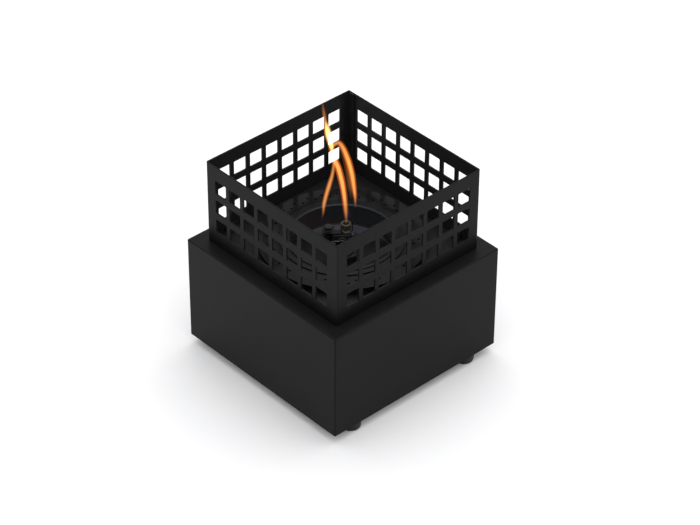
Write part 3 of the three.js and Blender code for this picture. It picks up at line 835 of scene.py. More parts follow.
@dataclass(frozen=True)
class SpunSteel(Finish):
    """Spun steel, dark and sooty, with fine rings, painted shade in the floor's corner, a painted violet
    reflection on the floor's far side and a painted highlight on the bead's far side.
    """

    colour: Colour = (0.013, 0.013, 0.014)
    bead_near: Colour = (0.012, 0.012, 0.013)
    bead_far_painted_highlight: Colour = (0.017, 0.017, 0.019)
    warm_wall: Colour = (0.066, 0.052, 0.048)
    cool_wall: Colour = (0.046, 0.054, 0.060)
    soot_and_shade: Colour = (0.011, 0.011, 0.012)
    painted_reflection: Colour = (0.084, 0.077, 0.108)
    roughness: float = 0.30
    ring_radius: float = 0.035
    floor_radius: float = 0.0452
    corner_radius: float = 0.0466
    rim_radius: float = 0.0525
    rim_height: float = 0.1264
    far_side: float = 0.030
    ring_blend: float = 0.003
    floor_blend: float = 0.001
    corner_blend: float = 0.0008
    rim_blend: float = 0.0006
    rim_step: float = 0.0003
    rings: float = 2600
    cloud: float = 26

    def paint(self, shader: Shader) -> None:
        """Fills the tree.

        Args:
            shader: the material's empty tree.
        """
        radius = shader.radius()
        place = shader.axes()
        across = place.output("Y") - place.output("X")
        beyond = shader.band(across, 0, self.far_side)
        back = shader.band(across, self.far_side, 1.6 * self.far_side)
        rings = shader.noise(self.rings, 2, place=shader.combine(radius, 0, 0))
        cloud = shader.noise(self.cloud, 3)
        ring_from, ring_to = self.ring_radius - self.ring_blend, self.ring_radius + self.ring_blend
        # Painted reflection: a violet band on the floor's far side, near the wall; elsewhere the floor is
        # dark.
        ring = back * shader.band(radius, ring_from, ring_to)
        floor = shader.mix(ring, self.soot_and_shade, self.painted_reflection)
        floor_end = self.floor_radius - self.floor_blend
        # Painted shade: the corner between the floor and the wall stays dark.
        corner = shader.blend(radius, floor_end, self.floor_radius, floor, self.soot_and_shade)
        wall = shader.blend(cloud, 0.42, 0.58, self.warm_wall, self.cool_wall)
        wall_foot = self.corner_radius + self.corner_blend
        inside = shader.blend(radius, self.corner_radius, wall_foot, corner, wall)
        # Painted highlight: the bead is lighter on its far side.
        bead = shader.mix(beyond, self.bead_near, self.bead_far_painted_highlight)
        rim_top = self.rim_height + self.rim_step
        rim = shader.blend(place.output("Z"), self.rim_height, rim_top, inside, bead)
        colour = shader.blend(radius, self.rim_radius - self.rim_blend, self.rim_radius, rim, self.colour)
        roughness = self.roughness + 0.12 * (rings - 0.5) + 0.16 * (cloud - 0.5)
        normal = shader.bump(rings, 0.00002, 0.5)
        shader.surface(colour, roughness, Metallic=0.6, Specular_IOR_Level=0.1, Normal=normal)


@dataclass(frozen=True)
class BareMetal(Finish):
    """A bare, plated or sooted metal with a fine grain and some cloudiness."""

    colour: Colour
    clouded: Colour
    roughness: float
    metallic: float = 1.0
    grain: float = 1500
    cloud: float = 60

    def shade(self, shader: Shader, colour: Value) -> Value:
        """Gives the colour after what lies on the metal, which is nothing here."""
        return colour

    def paint(self, shader: Shader) -> None:
        """Fills the tree.

        Args:
            shader: the material's empty tree.
        """
        grain = shader.noise(self.grain, 3)
        cloud = shader.noise(self.cloud, 4, 0.6)
        colour = self.shade(shader, shader.blend(cloud, 0.35, 0.7, self.colour, self.clouded))
        roughness = self.roughness + 0.16 * (cloud - 0.5) + 0.10 * (grain - 0.5)
        normal = shader.bump(grain, 0.00002, 0.5)
        shader.surface(colour, roughness, Metallic=self.metallic, Specular_IOR_Level=0.15, Normal=normal)


@dataclass(frozen=True)
class PlateWithPaintedReflection(BareMetal):
    """A dark metal plate, darker in front and towards the igniter, and lighter round the jet, where a
    reflection is painted.
    """

    soot_and_shade: Colour = (0.006, 0.006, 0.006)
    dark_from: float = -0.0010
    dark_whole: float = 0.0004
    reflection_reach: float = 0.0072
    reflection_blend: float = 0.0008

    def shade(self, shader: Shader, colour: Value) -> Value:
        """Mixes in the darker colour, along the row of the burner's parts and across it, leaving the painted
        reflection round the jet.

        Args:
            shader: the material's tree.
            colour: the bare plate's colour, which stays as the painted reflection round the jet.

        Returns:
            The colour, darker but for the painted reflection.
        """
        place = shader.axes()
        forward = (place.output("X") - place.output("Y")) * math.sqrt(0.5)
        leftward = (place.output("X") + place.output("Y")) * -math.sqrt(0.5)
        in_front = shader.band(forward, self.dark_from, self.dark_whole)
        beyond = shader.band(leftward, self.reflection_reach, self.reflection_reach + self.reflection_blend)
        # Painted reflection: the plate keeps its lighter bare colour only round the jet.
        return shader.mix(shader.math("MAXIMUM", in_front, beyond), colour, self.soot_and_shade)


@dataclass(frozen=True)
class Moulded(Finish):
    """A moulded or fired piece without metal: plastic, rubber or ceramic."""

    colour: Colour
    clouded: Colour
    roughness: float
    gloss: float = 0.5
    grain: float = 1200
    depth: float = 0.00002
    cloud: float = 120

    def paint(self, shader: Shader) -> None:
        """Fills the tree.

        Args:
            shader: the material's empty tree.
        """
        grain = shader.noise(self.grain, 3)
        cloud = shader.noise(self.cloud, 3)
        colour = shader.blend(cloud, 0.4, 0.7, self.colour, self.clouded)
        roughness = self.roughness + 0.12 * (cloud - 0.5)
        normal = shader.bump(grain, self.depth, 0.6)
        shader.surface(colour, roughness, Specular_IOR_Level=self.gloss, Normal=normal)


@dataclass(frozen=True)
class Fibre(Finish):
    """Pressed fibre sheet, with strands that lie every way in the sheet."""

    colour: Colour = (0.20, 0.10, 0.052)
    strand: Colour = (0.33, 0.19, 0.10)
    weave: float = 900

    def paint(self, shader: Shader) -> None:
        """Fills the tree.

        Args:
            shader: the material's empty tree.
        """
        long_x = shader.noise(self.weave, 2, place=shader.stretched(0.25, 1.6, 1))
        long_y = shader.noise(self.weave, 2, place=shader.stretched(1.6, 0.25, 1))
        strands = shader.math("MAXIMUM", long_x, long_y)
        colour = shader.blend(strands, 0.5, 0.72, self.colour, self.strand)
        shader.surface(colour, 0.85, Normal=shader.bump(strands, 0.00008, 0.7))


@dataclass(frozen=True)
class TinPaint(Finish):
    """Pale lacquer on tinplate, with one plain darker band round the can."""

    colour: Colour = (0.56, 0.58, 0.60)
    band_colour: Colour = (0.10, 0.17, 0.26)
    band_low: float = 0.030
    band_high: float = 0.044
    blend: float = 0.0001
    dust: float = 300
    roughness: float = 0.30

    def paint(self, shader: Shader) -> None:
        """Fills the tree.

        Args:
            shader: the material's empty tree.
        """
        middle = (self.band_low + self.band_high) / 2
        half = (self.band_high - self.band_low) / 2
        off_middle = abs(shader.axes().output("Z") - middle)
        dust = shader.noise(self.dust, 3)
        edge = (half + self.blend, half - self.blend)
        colour = shader.blend(off_middle, *edge, self.colour, self.band_colour)
        roughness = self.roughness + 0.10 * (dust - 0.5)
        shader.surface(colour, roughness, Coat_Weight=0.4, Normal=shader.bump(dust, 0.00001, 0.4))


POWDER_COAT = PowderCoat("satin powder coat", Slot.POWDER_COAT)
ENAMEL = Enamel("black enamel", Slot.ENAMEL)
SPUN_STEEL = SpunSteel("spun stainless steel", Slot.STAINLESS)
FIBRE = Fibre("pressed fibre", Slot.FIBRE)
TIN_PAINT = TinPaint("lacquered tinplate", Slot.CARTRIDGE_PAINT)
BRIGHT_WIRE = BareMetal("bright stainless", Slot.STAINLESS, (0.30, 0.30, 0.30), (0.20, 0.20, 0.20), 0.22)
SOOTY_WIRE = BareMetal(
    "sooty steel wire", Slot.STAINLESS, (0.048, 0.048, 0.050), (0.026, 0.026, 0.027), 0.26
)
ZINC = BareMetal(
    "dull zinc", Slot.ZINC_STEEL, (0.22, 0.22, 0.23), (0.15, 0.15, 0.17), 0.38, grain=700, cloud=140
)
DARK_METAL = BareMetal(
    "blackened die casting", Slot.DARK_METAL, (0.013, 0.013, 0.014), (0.020, 0.020, 0.021), 0.50, 0.2, 1100
)
PLATE_WITH_PAINTED_REFLECTION = PlateWithPaintedReflection(
    "sooted plate with painted reflection", Slot.DARK_METAL, (0.022, 0.021, 0.023), (0.030, 0.029, 0.031), 0.46, 0.2, 1100
)
BRASS = BareMetal(
    "tarnished brass", Slot.BRASS, (0.044, 0.041, 0.020), (0.044, 0.039, 0.040), 0.34, 0.35, cloud=180
)
SOOTY_BRASS = BareMetal("sooty brass", Slot.BRASS, (0.026, 0.025, 0.018), (0.020, 0.019, 0.017), 0.42, 0.35)
SOOTY_METAL = BareMetal(
    "sooty metal", Slot.ZINC_STEEL, (0.037, 0.037, 0.036), (0.024, 0.024, 0.025), 0.36, 0.35
)
NICKEL = BareMetal(
    "tarnished nickel", Slot.BRASS, (0.44, 0.42, 0.41), (0.28, 0.27, 0.26), 0.30, 0.35, cloud=200
)
FOOT_RUBBER = Moulded(
    "foot rubber", Slot.RUBBER, (0.0080, 0.0080, 0.0082), (0.014, 0.014, 0.014), 0.62, 0.3, 500, 0.00006
)
LEAD_RUBBER = Moulded("lead rubber", Slot.LEAD_RUBBER, (0.010, 0.010, 0.010), (0.018, 0.018, 0.018), 0.50)
BLACK_PLASTIC = Moulded(
    "black plastic", Slot.BLACK_PLASTIC, (0.0065, 0.0065, 0.0070), (0.011, 0.011, 0.011), 0.36
)
CERAMIC = Moulded(
    "sooty ceramic", Slot.CERAMIC, (0.100, 0.098, 0.094), (0.060, 0.058, 0.055), 0.30, 0.3, 600, 0.00001
)


# Sub-assemblies


class Assembly:
    """What every sub-assembly does with its pieces."""

    body: Body = Body.BASE

    def place(self, thing: Thing, finish: Finish, nodes: Sequence[str], body: Body | None = None) -> Thing:
        """Finishes a piece and puts it on its body in place of its solids.

        Args:
            thing: the piece.
            finish: its finish.
            nodes: the solids that it stands for.
            body: the body that it rides on, where that isn't the assembly's own.

        Returns:
            The piece.
        """
        smoothed(thing)
        thing.data.materials.clear()
        thing.data.materials.append(finish.material())
        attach(thing, (body or self.body).value)
        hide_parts(*nodes)
        LOG.info("%s: %d faces for %s", thing.name, len(thing.data.polygons), ", ".join(nodes))
        return thing

    def dress(self, finish: Finish, *nodes: str) -> None:
        """Gives solids whose shape is right a finish.

        Args:
            finish: their finish.
            nodes: the solids' names.
        """
        for node in nodes:
            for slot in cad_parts[node].material_slots:
                slot.link = "OBJECT"
                slot.material = finish.material()
            LOG.info("%s: finished in %s", node, finish.name)


def four(name: str) -> list[str]:
    """Gives the names of four solids that are alike."""
    return [f"{name}_{number}" for number in range(1, 5)]


@dataclass
class Base(Assembly):
    """The folded steel base with its feet, fasteners, brackets and bottom plate."""

    side: float = 200
    low: float = 9.5
    deck: float = 118.9
    sheet: float = 1.5
    fold: float = 1.3
    inner_fold: float = 0.2
    fold_steps: int = 6
    wall_edge: float = 0.3
    opening: float = 50
    opening_edge: float = 0.35
    plate_half: float = 98.2
    plate_low: float = 9.8
    plate_sheet: float = 1.2
    plate_corner: float = 3
    plate_edge: float = 0.2
    vent_length: float = 44
    vent_width: float = 3
    vent_start: float = 52
    vent_pitch: float = 8
    foot_x: float = 89
    foot_y: float = 71
    foot_radius: float = 10
    foot_recess: float = 4.3
    recess_depth: float = 4.9
    screw_radius: float = 2
    screw_head: float = 3.9
    screw_low: float = 2.2
    screw_shoulder: float = 4.6
    screw_end: float = 17.3
    socket: float = 2.5
    nut: float = 7
    nut_low: float = 13.1
    nut_high: float = 16.3
    body: Body = Body.BASE

    def build(self) -> None:
        """Builds and finishes every piece of the base."""
        self.place(self.shell(), POWDER_COAT, ["base_shell"])
        self.place(self.bottom_plate(), ZINC, ["base_plate"])
        self.place(self.at_feet(self.foot(), FOOT_RUBBER), FOOT_RUBBER, four("foot"))
        self.place(self.at_feet(self.screw(), ZINC), ZINC, four("foot_screw"))
        nut = hex_nut("foot_nuts", self.nut, self.screw_radius + 0.2, self.nut_low, self.nut_high)
        self.place(self.at_feet(nut, ZINC), ZINC, four("foot_nut"))
        self.dress(ZINC, "side_bracket_left", "side_bracket_right", *four("cartridge_guide"))
        self.dress(POWDER_COAT, *four("grille_locator"))

    def square(self, half: float, radius: float, height: float, sides: int = 160) -> list[Place]:
        """Gives a level square with rounded corners, in step with a circle of the same sides.

        Args:
            half: half its side.
            radius: the radius of its corners.
            height: its height.
            sides: the places in it, a multiple of 8.

        Returns:
            The square's places.
        """
        radius = max(radius, 0.02)
        straight = half - radius
        corner_steps = 2 * self.fold_steps
        along = sides // 4 - corner_steps - 1
        reach = math.atan2(straight, half)
        turns = [reach * (2 * (step + 1) / (along + 1) - 1) for step in range(along)]
        places = [(half, half * math.tan(turn)) for turn in turns]
        turns = [math.pi / 2 * step / corner_steps for step in range(corner_steps + 1)]
        places += [(straight + radius * math.cos(turn), straight + radius * math.sin(turn)) for turn in turns]
        loop: list[Place] = []
        for quarter in range(4):
            cosine, sine = round(math.cos(quarter * math.pi / 2)), round(math.sin(quarter * math.pi / 2))
            loop += [(x * cosine - y * sine, x * sine + y * cosine, height) for x, y in places]
        return loop

    def shell(self) -> Thing:
        """Builds the deck and four walls as one folded sheet with a round opening.

        Returns:
            The piece.
        """
        half, sheet, edge, broken = self.side / 2, self.sheet, self.wall_edge, self.opening_edge
        inner_fold = self.inner_fold
        directions = [math.atan2(y, x) for x, y, _ in self.square(half, self.fold, self.deck)]

        def opening(radius: float, height: float) -> list[Place]:
            """Gives the opening's circle, in step with the squares."""
            return [(radius * math.cos(turn), radius * math.sin(turn), height) for turn in directions]

        def folds(outer: float, out: float, top: float) -> list[list[Place]]:
            """Gives the loops of the fold between deck and walls, from the deck down.

            Args:
                outer: the fold's radius.
                out: how far out the wall's face lies.
                top: the height of the deck's face.

            Returns:
                The loops.
            """
            turns = [math.pi / 2 * step / self.fold_steps for step in range(self.fold_steps + 1)]
            bends = [(outer * math.sin(turn), outer * math.cos(turn)) for turn in turns]
            return [self.square(out - outer + across, across, top - outer + up) for across, up in bends]

        loops = [
            opening(self.opening, self.deck - sheet + broken),
            opening(self.opening, self.deck - broken),
            opening(self.opening + broken, self.deck),
            *folds(self.fold, half, self.deck),
            self.square(half, self.fold, self.low + edge),
            self.square(half - edge, self.fold - edge, self.low),
            self.square(half - sheet + edge, inner_fold + edge, self.low),
            self.square(half - sheet, inner_fold, self.low + edge),
            *reversed(folds(inner_fold, half - sheet, self.deck - sheet)),
            opening(self.opening + broken, self.deck - sheet),
        ]
        return loft("folded_base", loops, closed=True)

    def bottom_plate(self) -> Thing:
        """Builds the bottom plate, with its vents cut by a tree.

        Returns:
            The piece.
        """
        half, edge, low = self.plate_half, self.plate_edge, self.plate_low
        high = low + self.plate_sheet
        levels = [(half - edge, low), (half, low + edge), (half, high - edge), (half - edge, high)]
        plate = loft("bottom_plate", [self.square(out, self.plate_corner, height) for out, height in levels])
        tree = GeometryTree("vents")
        width = tree.size("Vent width", self.vent_width)
        length = tree.size("Vent length", self.vent_length)
        sheet = tree.size("Sheet", self.plate_sheet)
        outline = tree.rectangle(length, width, width / 2.02, 6)
        cutter = tree.hole_cutter(outline, length, sheet, tree.size("Broken edge", 0.1))
        first = tree.size("First vent", self.vent_start + self.vent_width / 2)
        places = {
            "Count": tree.count("Vents in a row", 3),
            "Start Location": tree.combine(0, first, 0),
            "Offset": tree.combine(0, tree.size("Vent pitch", self.vent_pitch), 0),
        }
        row = tree.repeated(tree.node("GeometryNodeMeshLine", places), cutter)
        vents = tree.round_about(tree.count("Rows", 4), row)
        level = tree.moved(vents, tree.combine(0, 0, tree.size("Underside", self.plate_low)))
        return tree.run(plate, tree.without(level), ZINC)

    def at_feet(self, thing: Thing, finish: Finish) -> Thing:
        """Repeats a piece that stands on the axis at the four feet.

        Args:
            thing: the piece.
            finish: its finish.

        Returns:
            The same piece, four times in one mesh.
        """
        tree = GeometryTree("at the feet")
        size_x = tree.size("Between feet along X", 2 * self.foot_x)
        size_y = tree.size("Between feet along Y", 2 * self.foot_y)
        return tree.run(thing, tree.repeated(tree.grid(size_x, size_y, 2, 2), tree.given()), finish)

    def foot(self) -> Thing:
        """Builds one rubber foot with its recess for the screw's head.

        Returns:
            The piece.
        """
        recess, bore, radius, low = self.foot_recess, self.screw_radius + 0.3, self.foot_radius, self.low
        outline = [(recess, 0, 0.5), (radius - 0.8, 0, 1.6), (radius, low - 1.2, 0.6)]
        outline += [(radius - 0.5, low, 0.4), (bore, low), (bore, self.recess_depth)]
        outline += [(recess, self.recess_depth, 0.4)]
        return turned("feet", outline, sides=48)

    def screw(self) -> Thing:
        """Builds one foot screw with a hexagon socket in its head.

        Returns:
            The piece.
        """
        sides = 48
        head, shank, low, shoulder = self.screw_head, self.screw_radius, self.screw_low, self.screw_shoulder
        reach = [(hexagon(self.socket, turn), turn) for turn in turns_of(sides)]
        socket = [
            [(far * math.cos(turn), far * math.sin(turn), height) for far, turn in reach]
            for height in (low + 1.4, low + 0.1)
        ]
        rounds = [(1.6, low), (head - 0.9, low), (head - 0.25, low + 0.3), (head, low + 0.9)]
        rounds += [(head, shoulder), (shank, shoulder)]
        rounds += [(shank, self.screw_end - 0.3), (shank - 0.4, self.screw_end)]
        return loft("foot_screws", socket + [circle(radius, height, sides) for radius, height in rounds])


@dataclass
class Grille(Assembly):
    """The two folded, perforated panels that stand on the deck."""

    side: float = 172.8
    low: float = 119.2
    high: float = 205.4
    sheet: float = 1.5
    bend: float = 2.0
    bend_steps: int = 6
    lap: float = 8
    lap_bend: float = 0.5
    least_bend: float = 0.2
    seam_gap: float = 0.12
    rim_edge: float = 0.3
    window: float = 14.5
    window_corner: float = 0.9
    window_edge: float = 0.22
    columns: int = 8
    column_pitch: float = 19.1
    rows: int = 3
    row_pitch: float = 21.2
    notch_width: float = 2.4
    notch_depth: float = 3
    body: Body = Body.GRILLE

    def build(self) -> None:
        """Builds and finishes both panels."""
        for name, turn in (("left", 0), ("right", 180)):
            panel = self.perforated(self.folded_sheet(f"folded_panel_{name}"))
            self.place(spun(panel, turn), POWDER_COAT, [f"grille_panel_{name}"])

    def outline(self, inset: float) -> list[tuple[float, float]]:
        """Gives the plan of one folded panel.

        Args:
            inset: how far inside the sheet's faces the outline lies.

        Returns:
            The places of the outline, up the outer face and back along the inner one.
        """
        half = self.side / 2
        lap_y = half - self.sheet - self.seam_gap
        end = half - inset
        lap_end = -half + self.sheet + self.lap - inset
        outer = [(end, -half + inset)]
        inner = [(end, -half + self.sheet - inset)]
        corners = [(-half, 1, self.bend, math.radians(270)), (lap_y, -1, self.lap_bend, math.radians(180))]
        for y, side, radius, start in corners:
            bore = max(radius - self.sheet, self.least_bend)
            deep = self.sheet + bore
            for step in range(self.bend_steps + 1):
                turn = start - math.pi / 2 * step / self.bend_steps
                out, back = radius - inset, bore + inset
                across, up = math.cos(turn), math.sin(turn)
                outer.append((-half + radius + out * across, y + side * radius + out * up))
                inner.append((-half + deep + back * across, y + side * deep + back * up))
        outer.append((lap_end, lap_y - inset))
        inner.append((lap_end, lap_y - self.sheet + inset))
        return outer + inner[::-1]

    def folded_sheet(self, name: str) -> Thing:
        """Builds one panel without its windows.

        Args:
            name: the panel's name.

        Returns:
            The panel.
        """
        edge = self.rim_edge
        levels = [(self.low, edge), (self.low + edge, 0), (self.high - edge, 0), (self.high, edge)]
        return loft(name, [[(x, y, height) for x, y in self.outline(inset)] for height, inset in levels])

    def perforated(self, panel: Thing) -> Thing:
        """Cuts the windows of both walls and the notch at the lap, by a tree.

        Args:
            panel: the panel.

        Returns:
            The same panel.
        """
        half = self.side / 2
        tree = GeometryTree("windows")
        window = tree.size("Window", self.window)
        sheet = tree.size("Sheet", self.sheet)
        outline = tree.rectangle(window, window, tree.size("Window corner", self.window_corner), 4)
        cutter = tree.hole_cutter(outline, window, sheet, tree.size("Broken edge", self.window_edge))
        columns = tree.count("Columns", self.columns)
        rows = tree.count("Rows", self.rows)
        width = tree.size("Column pitch", self.column_pitch) * (columns - 1)
        grid = tree.grid(width, tree.size("Row pitch", self.row_pitch) * (rows - 1), columns, rows)
        middle = tree.size("Middle", (self.low + self.high) / 2)
        in_wall = tree.combine(0, tree.size("Wall", -half), middle)
        upright = tree.moved(tree.repeated(grid, cutter), in_wall, (-math.pi / 2, 0, 0))
        beside = tree.moved(upright, turn=(0, 0, -math.pi / 2))
        reach = tree.size("Notch reach", 4 * self.sheet)
        depth = tree.size("Notch depth", 2 * self.notch_depth)
        box = {"Size": tree.combine(tree.size("Notch width", self.notch_width), reach, depth)}
        notch_x = -half + self.sheet + self.notch_width / 2
        notch_place = Vector((notch_x, half - self.sheet - self.seam_gap, self.high)) * MM
        notch = tree.moved(tree.node("GeometryNodeMeshCube", box), notch_place)
        return tree.run(panel, tree.without(upright, beside, notch), POWDER_COAT)


@dataclass
class Insert(Assembly):
    """The burner's plate, standoffs, bowl and seals."""

    plate_radius: float = 77.5
    plate_low: float = 124.4
    plate_high: float = 125.6
    plate_opening: float = 49.5
    plate_edge: float = 0.25
    holes: int = 30
    hole_radius: float = 1.2
    inner_ring: float = 64.8
    outer_ring: float = 68.7
    first_hole: float = 4
    standoff_circle: float = 73.7
    standoff_radius: float = 3
    deck: float = 119.2
    bowl_radius: float = 47.3
    bowl_sheet: float = 0.8
    bowl_floor: float = 106.7
    bowl_corner: float = 4
    flange: float = 57.5
    flange_top: float = 126.7
    bead: float = 4.9
    bead_rise: float = 1.4
    bead_steps: int = 12
    neck_hole: float = 10.7
    body: Body = Body.INSERT

    def build(self) -> None:
        """Builds and finishes the plate, standoffs, bowl and seals."""
        self.place(self.plate(), ENAMEL, ["surround_plate"])
        self.place(self.standoffs(), POWDER_COAT, four("plate_standoff"))
        self.place(self.bowl(), SPUN_STEEL, ["burner_bowl"])
        self.dress(FIBRE, "bowl_gasket")
        self.dress(LEAD_RUBBER, "thread_seal")

    def plate(self) -> Thing:
        """Builds the plate, with its two rings of holes cut by a tree.

        Returns:
            The piece.
        """
        low, high, bore, rim = self.plate_low, self.plate_high, self.plate_opening, self.plate_radius
        corners = [(bore, low), (rim, low), (rim, high), (bore, high)]
        blank = turned("surround_disc", [(*corner, self.plate_edge) for corner in corners], 144, 2)
        tree = GeometryTree("rings of holes")
        radius = tree.size("Hole radius", self.hole_radius)
        sheet = tree.size("Sheet", high - low)
        edge = tree.size("Broken edge", 0.12)
        cutter = tree.hole_cutter(tree.round_outline(radius, 14), radius * 2, sheet, edge)
        count = tree.count("Holes in a ring", self.holes)
        underside = tree.size("Underside", low)
        rings = []
        for name, ring, share in (("Inner ring", self.inner_ring, 0), ("Outer ring", self.outer_ring, 0.5)):
            out = tree.moved(cutter, tree.combine(tree.size(name, ring), 0, underside))
            start = math.radians(self.first_hole) + share * math.tau / self.holes
            rings.append(tree.round_about(count, out, start))
        return tree.run(blank, tree.without(*rings), ENAMEL)

    def standoffs(self) -> Thing:
        """Builds the four standoffs under the plate, set round by a tree.

        Returns:
            The four pieces, in one mesh.
        """
        post = rod("plate_standoffs", self.standoff_radius, self.deck, self.plate_low - 0.3, (0.4,))
        tree = GeometryTree("standoffs")
        out = tree.moved(tree.given(), tree.combine(tree.size("Circle", self.standoff_circle), 0, 0))
        return tree.run(post, tree.round_about(tree.count("Standoffs", 4), out, math.pi / 4), POWDER_COAT)

    def bowl(self) -> Thing:
        """Builds the spun bowl with its flange and raised bead.

        Returns:
            The piece.
        """
        sheet, inner, floor, top, hole = (
            self.bowl_sheet, self.bowl_radius, self.bowl_floor, self.flange_top, self.neck_hole
        )
        half_bead = self.bead / 2
        turns = [math.pi * step / self.bead_steps for step in range(1, self.bead_steps)]
        arch = [
            (inner + half_bead + half_bead * math.cos(turn), top + self.bead_rise * math.sin(turn))
            for turn in turns
        ]
        outline = [
            (hole, floor - sheet), (inner + sheet, floor - sheet, self.bowl_corner + sheet),
            (inner + sheet, top - sheet, 0.3), (self.flange, top - sheet, 0.2), (self.flange, top, 0.2),
            (inner + self.bead, top), *arch, (inner, top), (inner, floor, self.bowl_corner), (hole, floor),
        ]
        return turned("spun_bowl", outline, sides=128, steps=8)


@dataclass
class Burner(Assembly):
    """What stands in the bowl: valve, nozzle, gas tap, igniter and electrode."""

    turn: float = 45
    thread_bore: float = 5.85
    thread_top: float = 92.9
    socket: float = 15
    socket_low: float = 81.3
    socket_high: float = 92.3
    collar: float = 13
    shoulder: float = 104.3
    neck: float = 10.2
    neck_top: float = 112.8
    nut: float = 26
    nut_low: float = 107.0
    nut_high: float = 112.0
    pedestal: float = 6.5
    head_low: float = 122.8
    head_high: float = 132.5
    head_left: float = -8.2
    head_right: float = 5.5
    head_depth: float = 13
    bore: float = 1.2
    tap_height: float = 127.65
    tap_bore: float = 2.3
    gland: float = 7
    spindle: float = 1.9
    spindle_in: float = -7.7
    spindle_out: float = 7
    key_wire: float = 0.8
    key_reach: float = 9.2
    key_loop: float = 5.4
    key_angle: float = 186
    jet_x: float = 2.9
    seat: float = 6
    seat_low: float = 132.8
    seat_high: float = 135.0
    jet_low: float = 135.3
    jet_high: float = 142.0
    jet_radius: float = 4.9
    jet_port: float = 2.6
    port_depth: float = 4.2
    groove_low: float = 139.1
    groove_high: float = 139.9
    groove_depth: float = 0.8
    air_hole: float = 0.7
    air_height: float = 140.95
    plate_left: float = -18.6
    plate_right: float = -0.86
    plate_half: float = 5.5
    plate_low: float = 132.8
    plate_high: float = 134.0
    igniter_x: float = -13.1
    igniter_radius: float = 3.8
    igniter_low: float = 119.0
    igniter_high: float = 134.7
    button_radius: float = 2.8
    button_high: float = 138.2
    button_in: float = 2.2
    button_cap: float = 1.2
    spring_low: float = 124.5
    spring_coil: float = 2.2
    spring_wire: float = 0.3
    spring_rise: float = 7.1
    spring_turns: float = 5.0
    electrode_x: float = 10.2
    electrode_low: float = 124.0
    electrode_lean: float = 17
    insulator_radius: float = 1.1
    insulator_length: float = 8.6
    pin_wire: float = 0.4
    pin_bend: float = 139.9
    clip_radius: float = 2.3
    clip_low: float = 2.8
    clip_high: float = 5.8
    lead_radius: float = 0.8
    lead_behind: float = 11
    body: Body = Body.INSERT

    def build(self) -> None:
        """Builds and finishes every piece of the burner."""
        bodies = {"valve_spindle": Body.TAP, "control_key": Body.TAP, "igniter_button": Body.BUTTON}
        pieces: dict[str, tuple[Callable[[], Thing], Finish]] = {
            "valve_body": (self.valve_body, DARK_METAL),
            "valve_nut": (self.valve_nut, DARK_METAL),
            "jet_base": (self.jet_base, NICKEL),
            "jet_nozzle": (self.nozzle, BRASS),
            "gland_nut": (self.gland_nut, SOOTY_BRASS),
            "valve_spindle": (self.tap_spindle, SOOTY_WIRE),
            "control_key": (self.key, SOOTY_WIRE),
            "igniter_bracket": (self.bracket, PLATE_WITH_PAINTED_REFLECTION),
            "igniter_body": (self.igniter, BLACK_PLASTIC),
            "igniter_button": (self.button, DARK_METAL),
            "igniter_spring": (self.spring, BRIGHT_WIRE),
            "electrode_insulator": (self.insulator, CERAMIC),
            "electrode_pin": (self.pin, SOOTY_WIRE),
            "electrode_clip": (self.clip, SOOTY_METAL),
            "igniter_lead": (self.lead, LEAD_RUBBER),
        }
        for node, (make, finish) in pieces.items():
            piece = self.place(spun(make(), self.turn), finish, [node], bodies.get(node))
            if node == "igniter_spring":
                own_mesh(piece)
        self.dress(CERAMIC, "piezo_element")

    def towards_front(self, thing: Thing) -> Thing:
        """Lays a piece that is made upright along the tap's axis."""
        return shifted(spun(thing, 90, "X"), y=-self.head_depth / 2, z=self.tap_height)

    def valve_body(self) -> Thing:
        """Builds the valve: a turned stem with a squared head.

        Returns:
            The piece.
        """
        bore, foot = self.bore, self.head_low + 1
        outline = [
            (bore, self.thread_top), (self.thread_bore, self.thread_top),
            (self.thread_bore, self.socket_low, 0.3), (self.socket, self.socket_low, 0.8),
            (self.socket, self.socket_high, 0.8), (self.collar, self.socket_high),
            (self.collar, self.shoulder, 0.4), (self.neck, self.shoulder), (self.neck, self.neck_top, 0.7),
            (self.pedestal, self.neck_top, 0.8), (self.pedestal, foot), (bore, foot),
        ]
        stem = turned("valve_casting", outline, sides=96)
        half = self.head_depth / 2
        low, high = (self.head_left, -half, self.head_low), (self.head_right, half, self.head_high)
        tap_way = self.towards_front(rod("tap_way", self.tap_bore, -8, 2))
        jet_way = shifted(rod("jet_way", bore, 126, 135), self.jet_x)
        combined(stem, eased_box("valve_head", low, high, 0.9), Cut.JOIN)
        combined(stem, tap_way, Cut.TAKE_AWAY)
        return combined(stem, jet_way, Cut.TAKE_AWAY)

    def valve_nut(self) -> Thing:
        """Builds the nut that holds the bowl on the valve's neck."""
        return hex_nut("bowl_nut", self.nut, self.neck + 0.3, self.nut_low, self.nut_high, sides=96)

    def jet_base(self) -> Thing:
        """Builds the hexagon under the nozzle."""
        nut = hex_nut("nozzle_hexagon", self.seat, self.bore, self.seat_low, self.seat_high)
        return shifted(nut, self.jet_x)

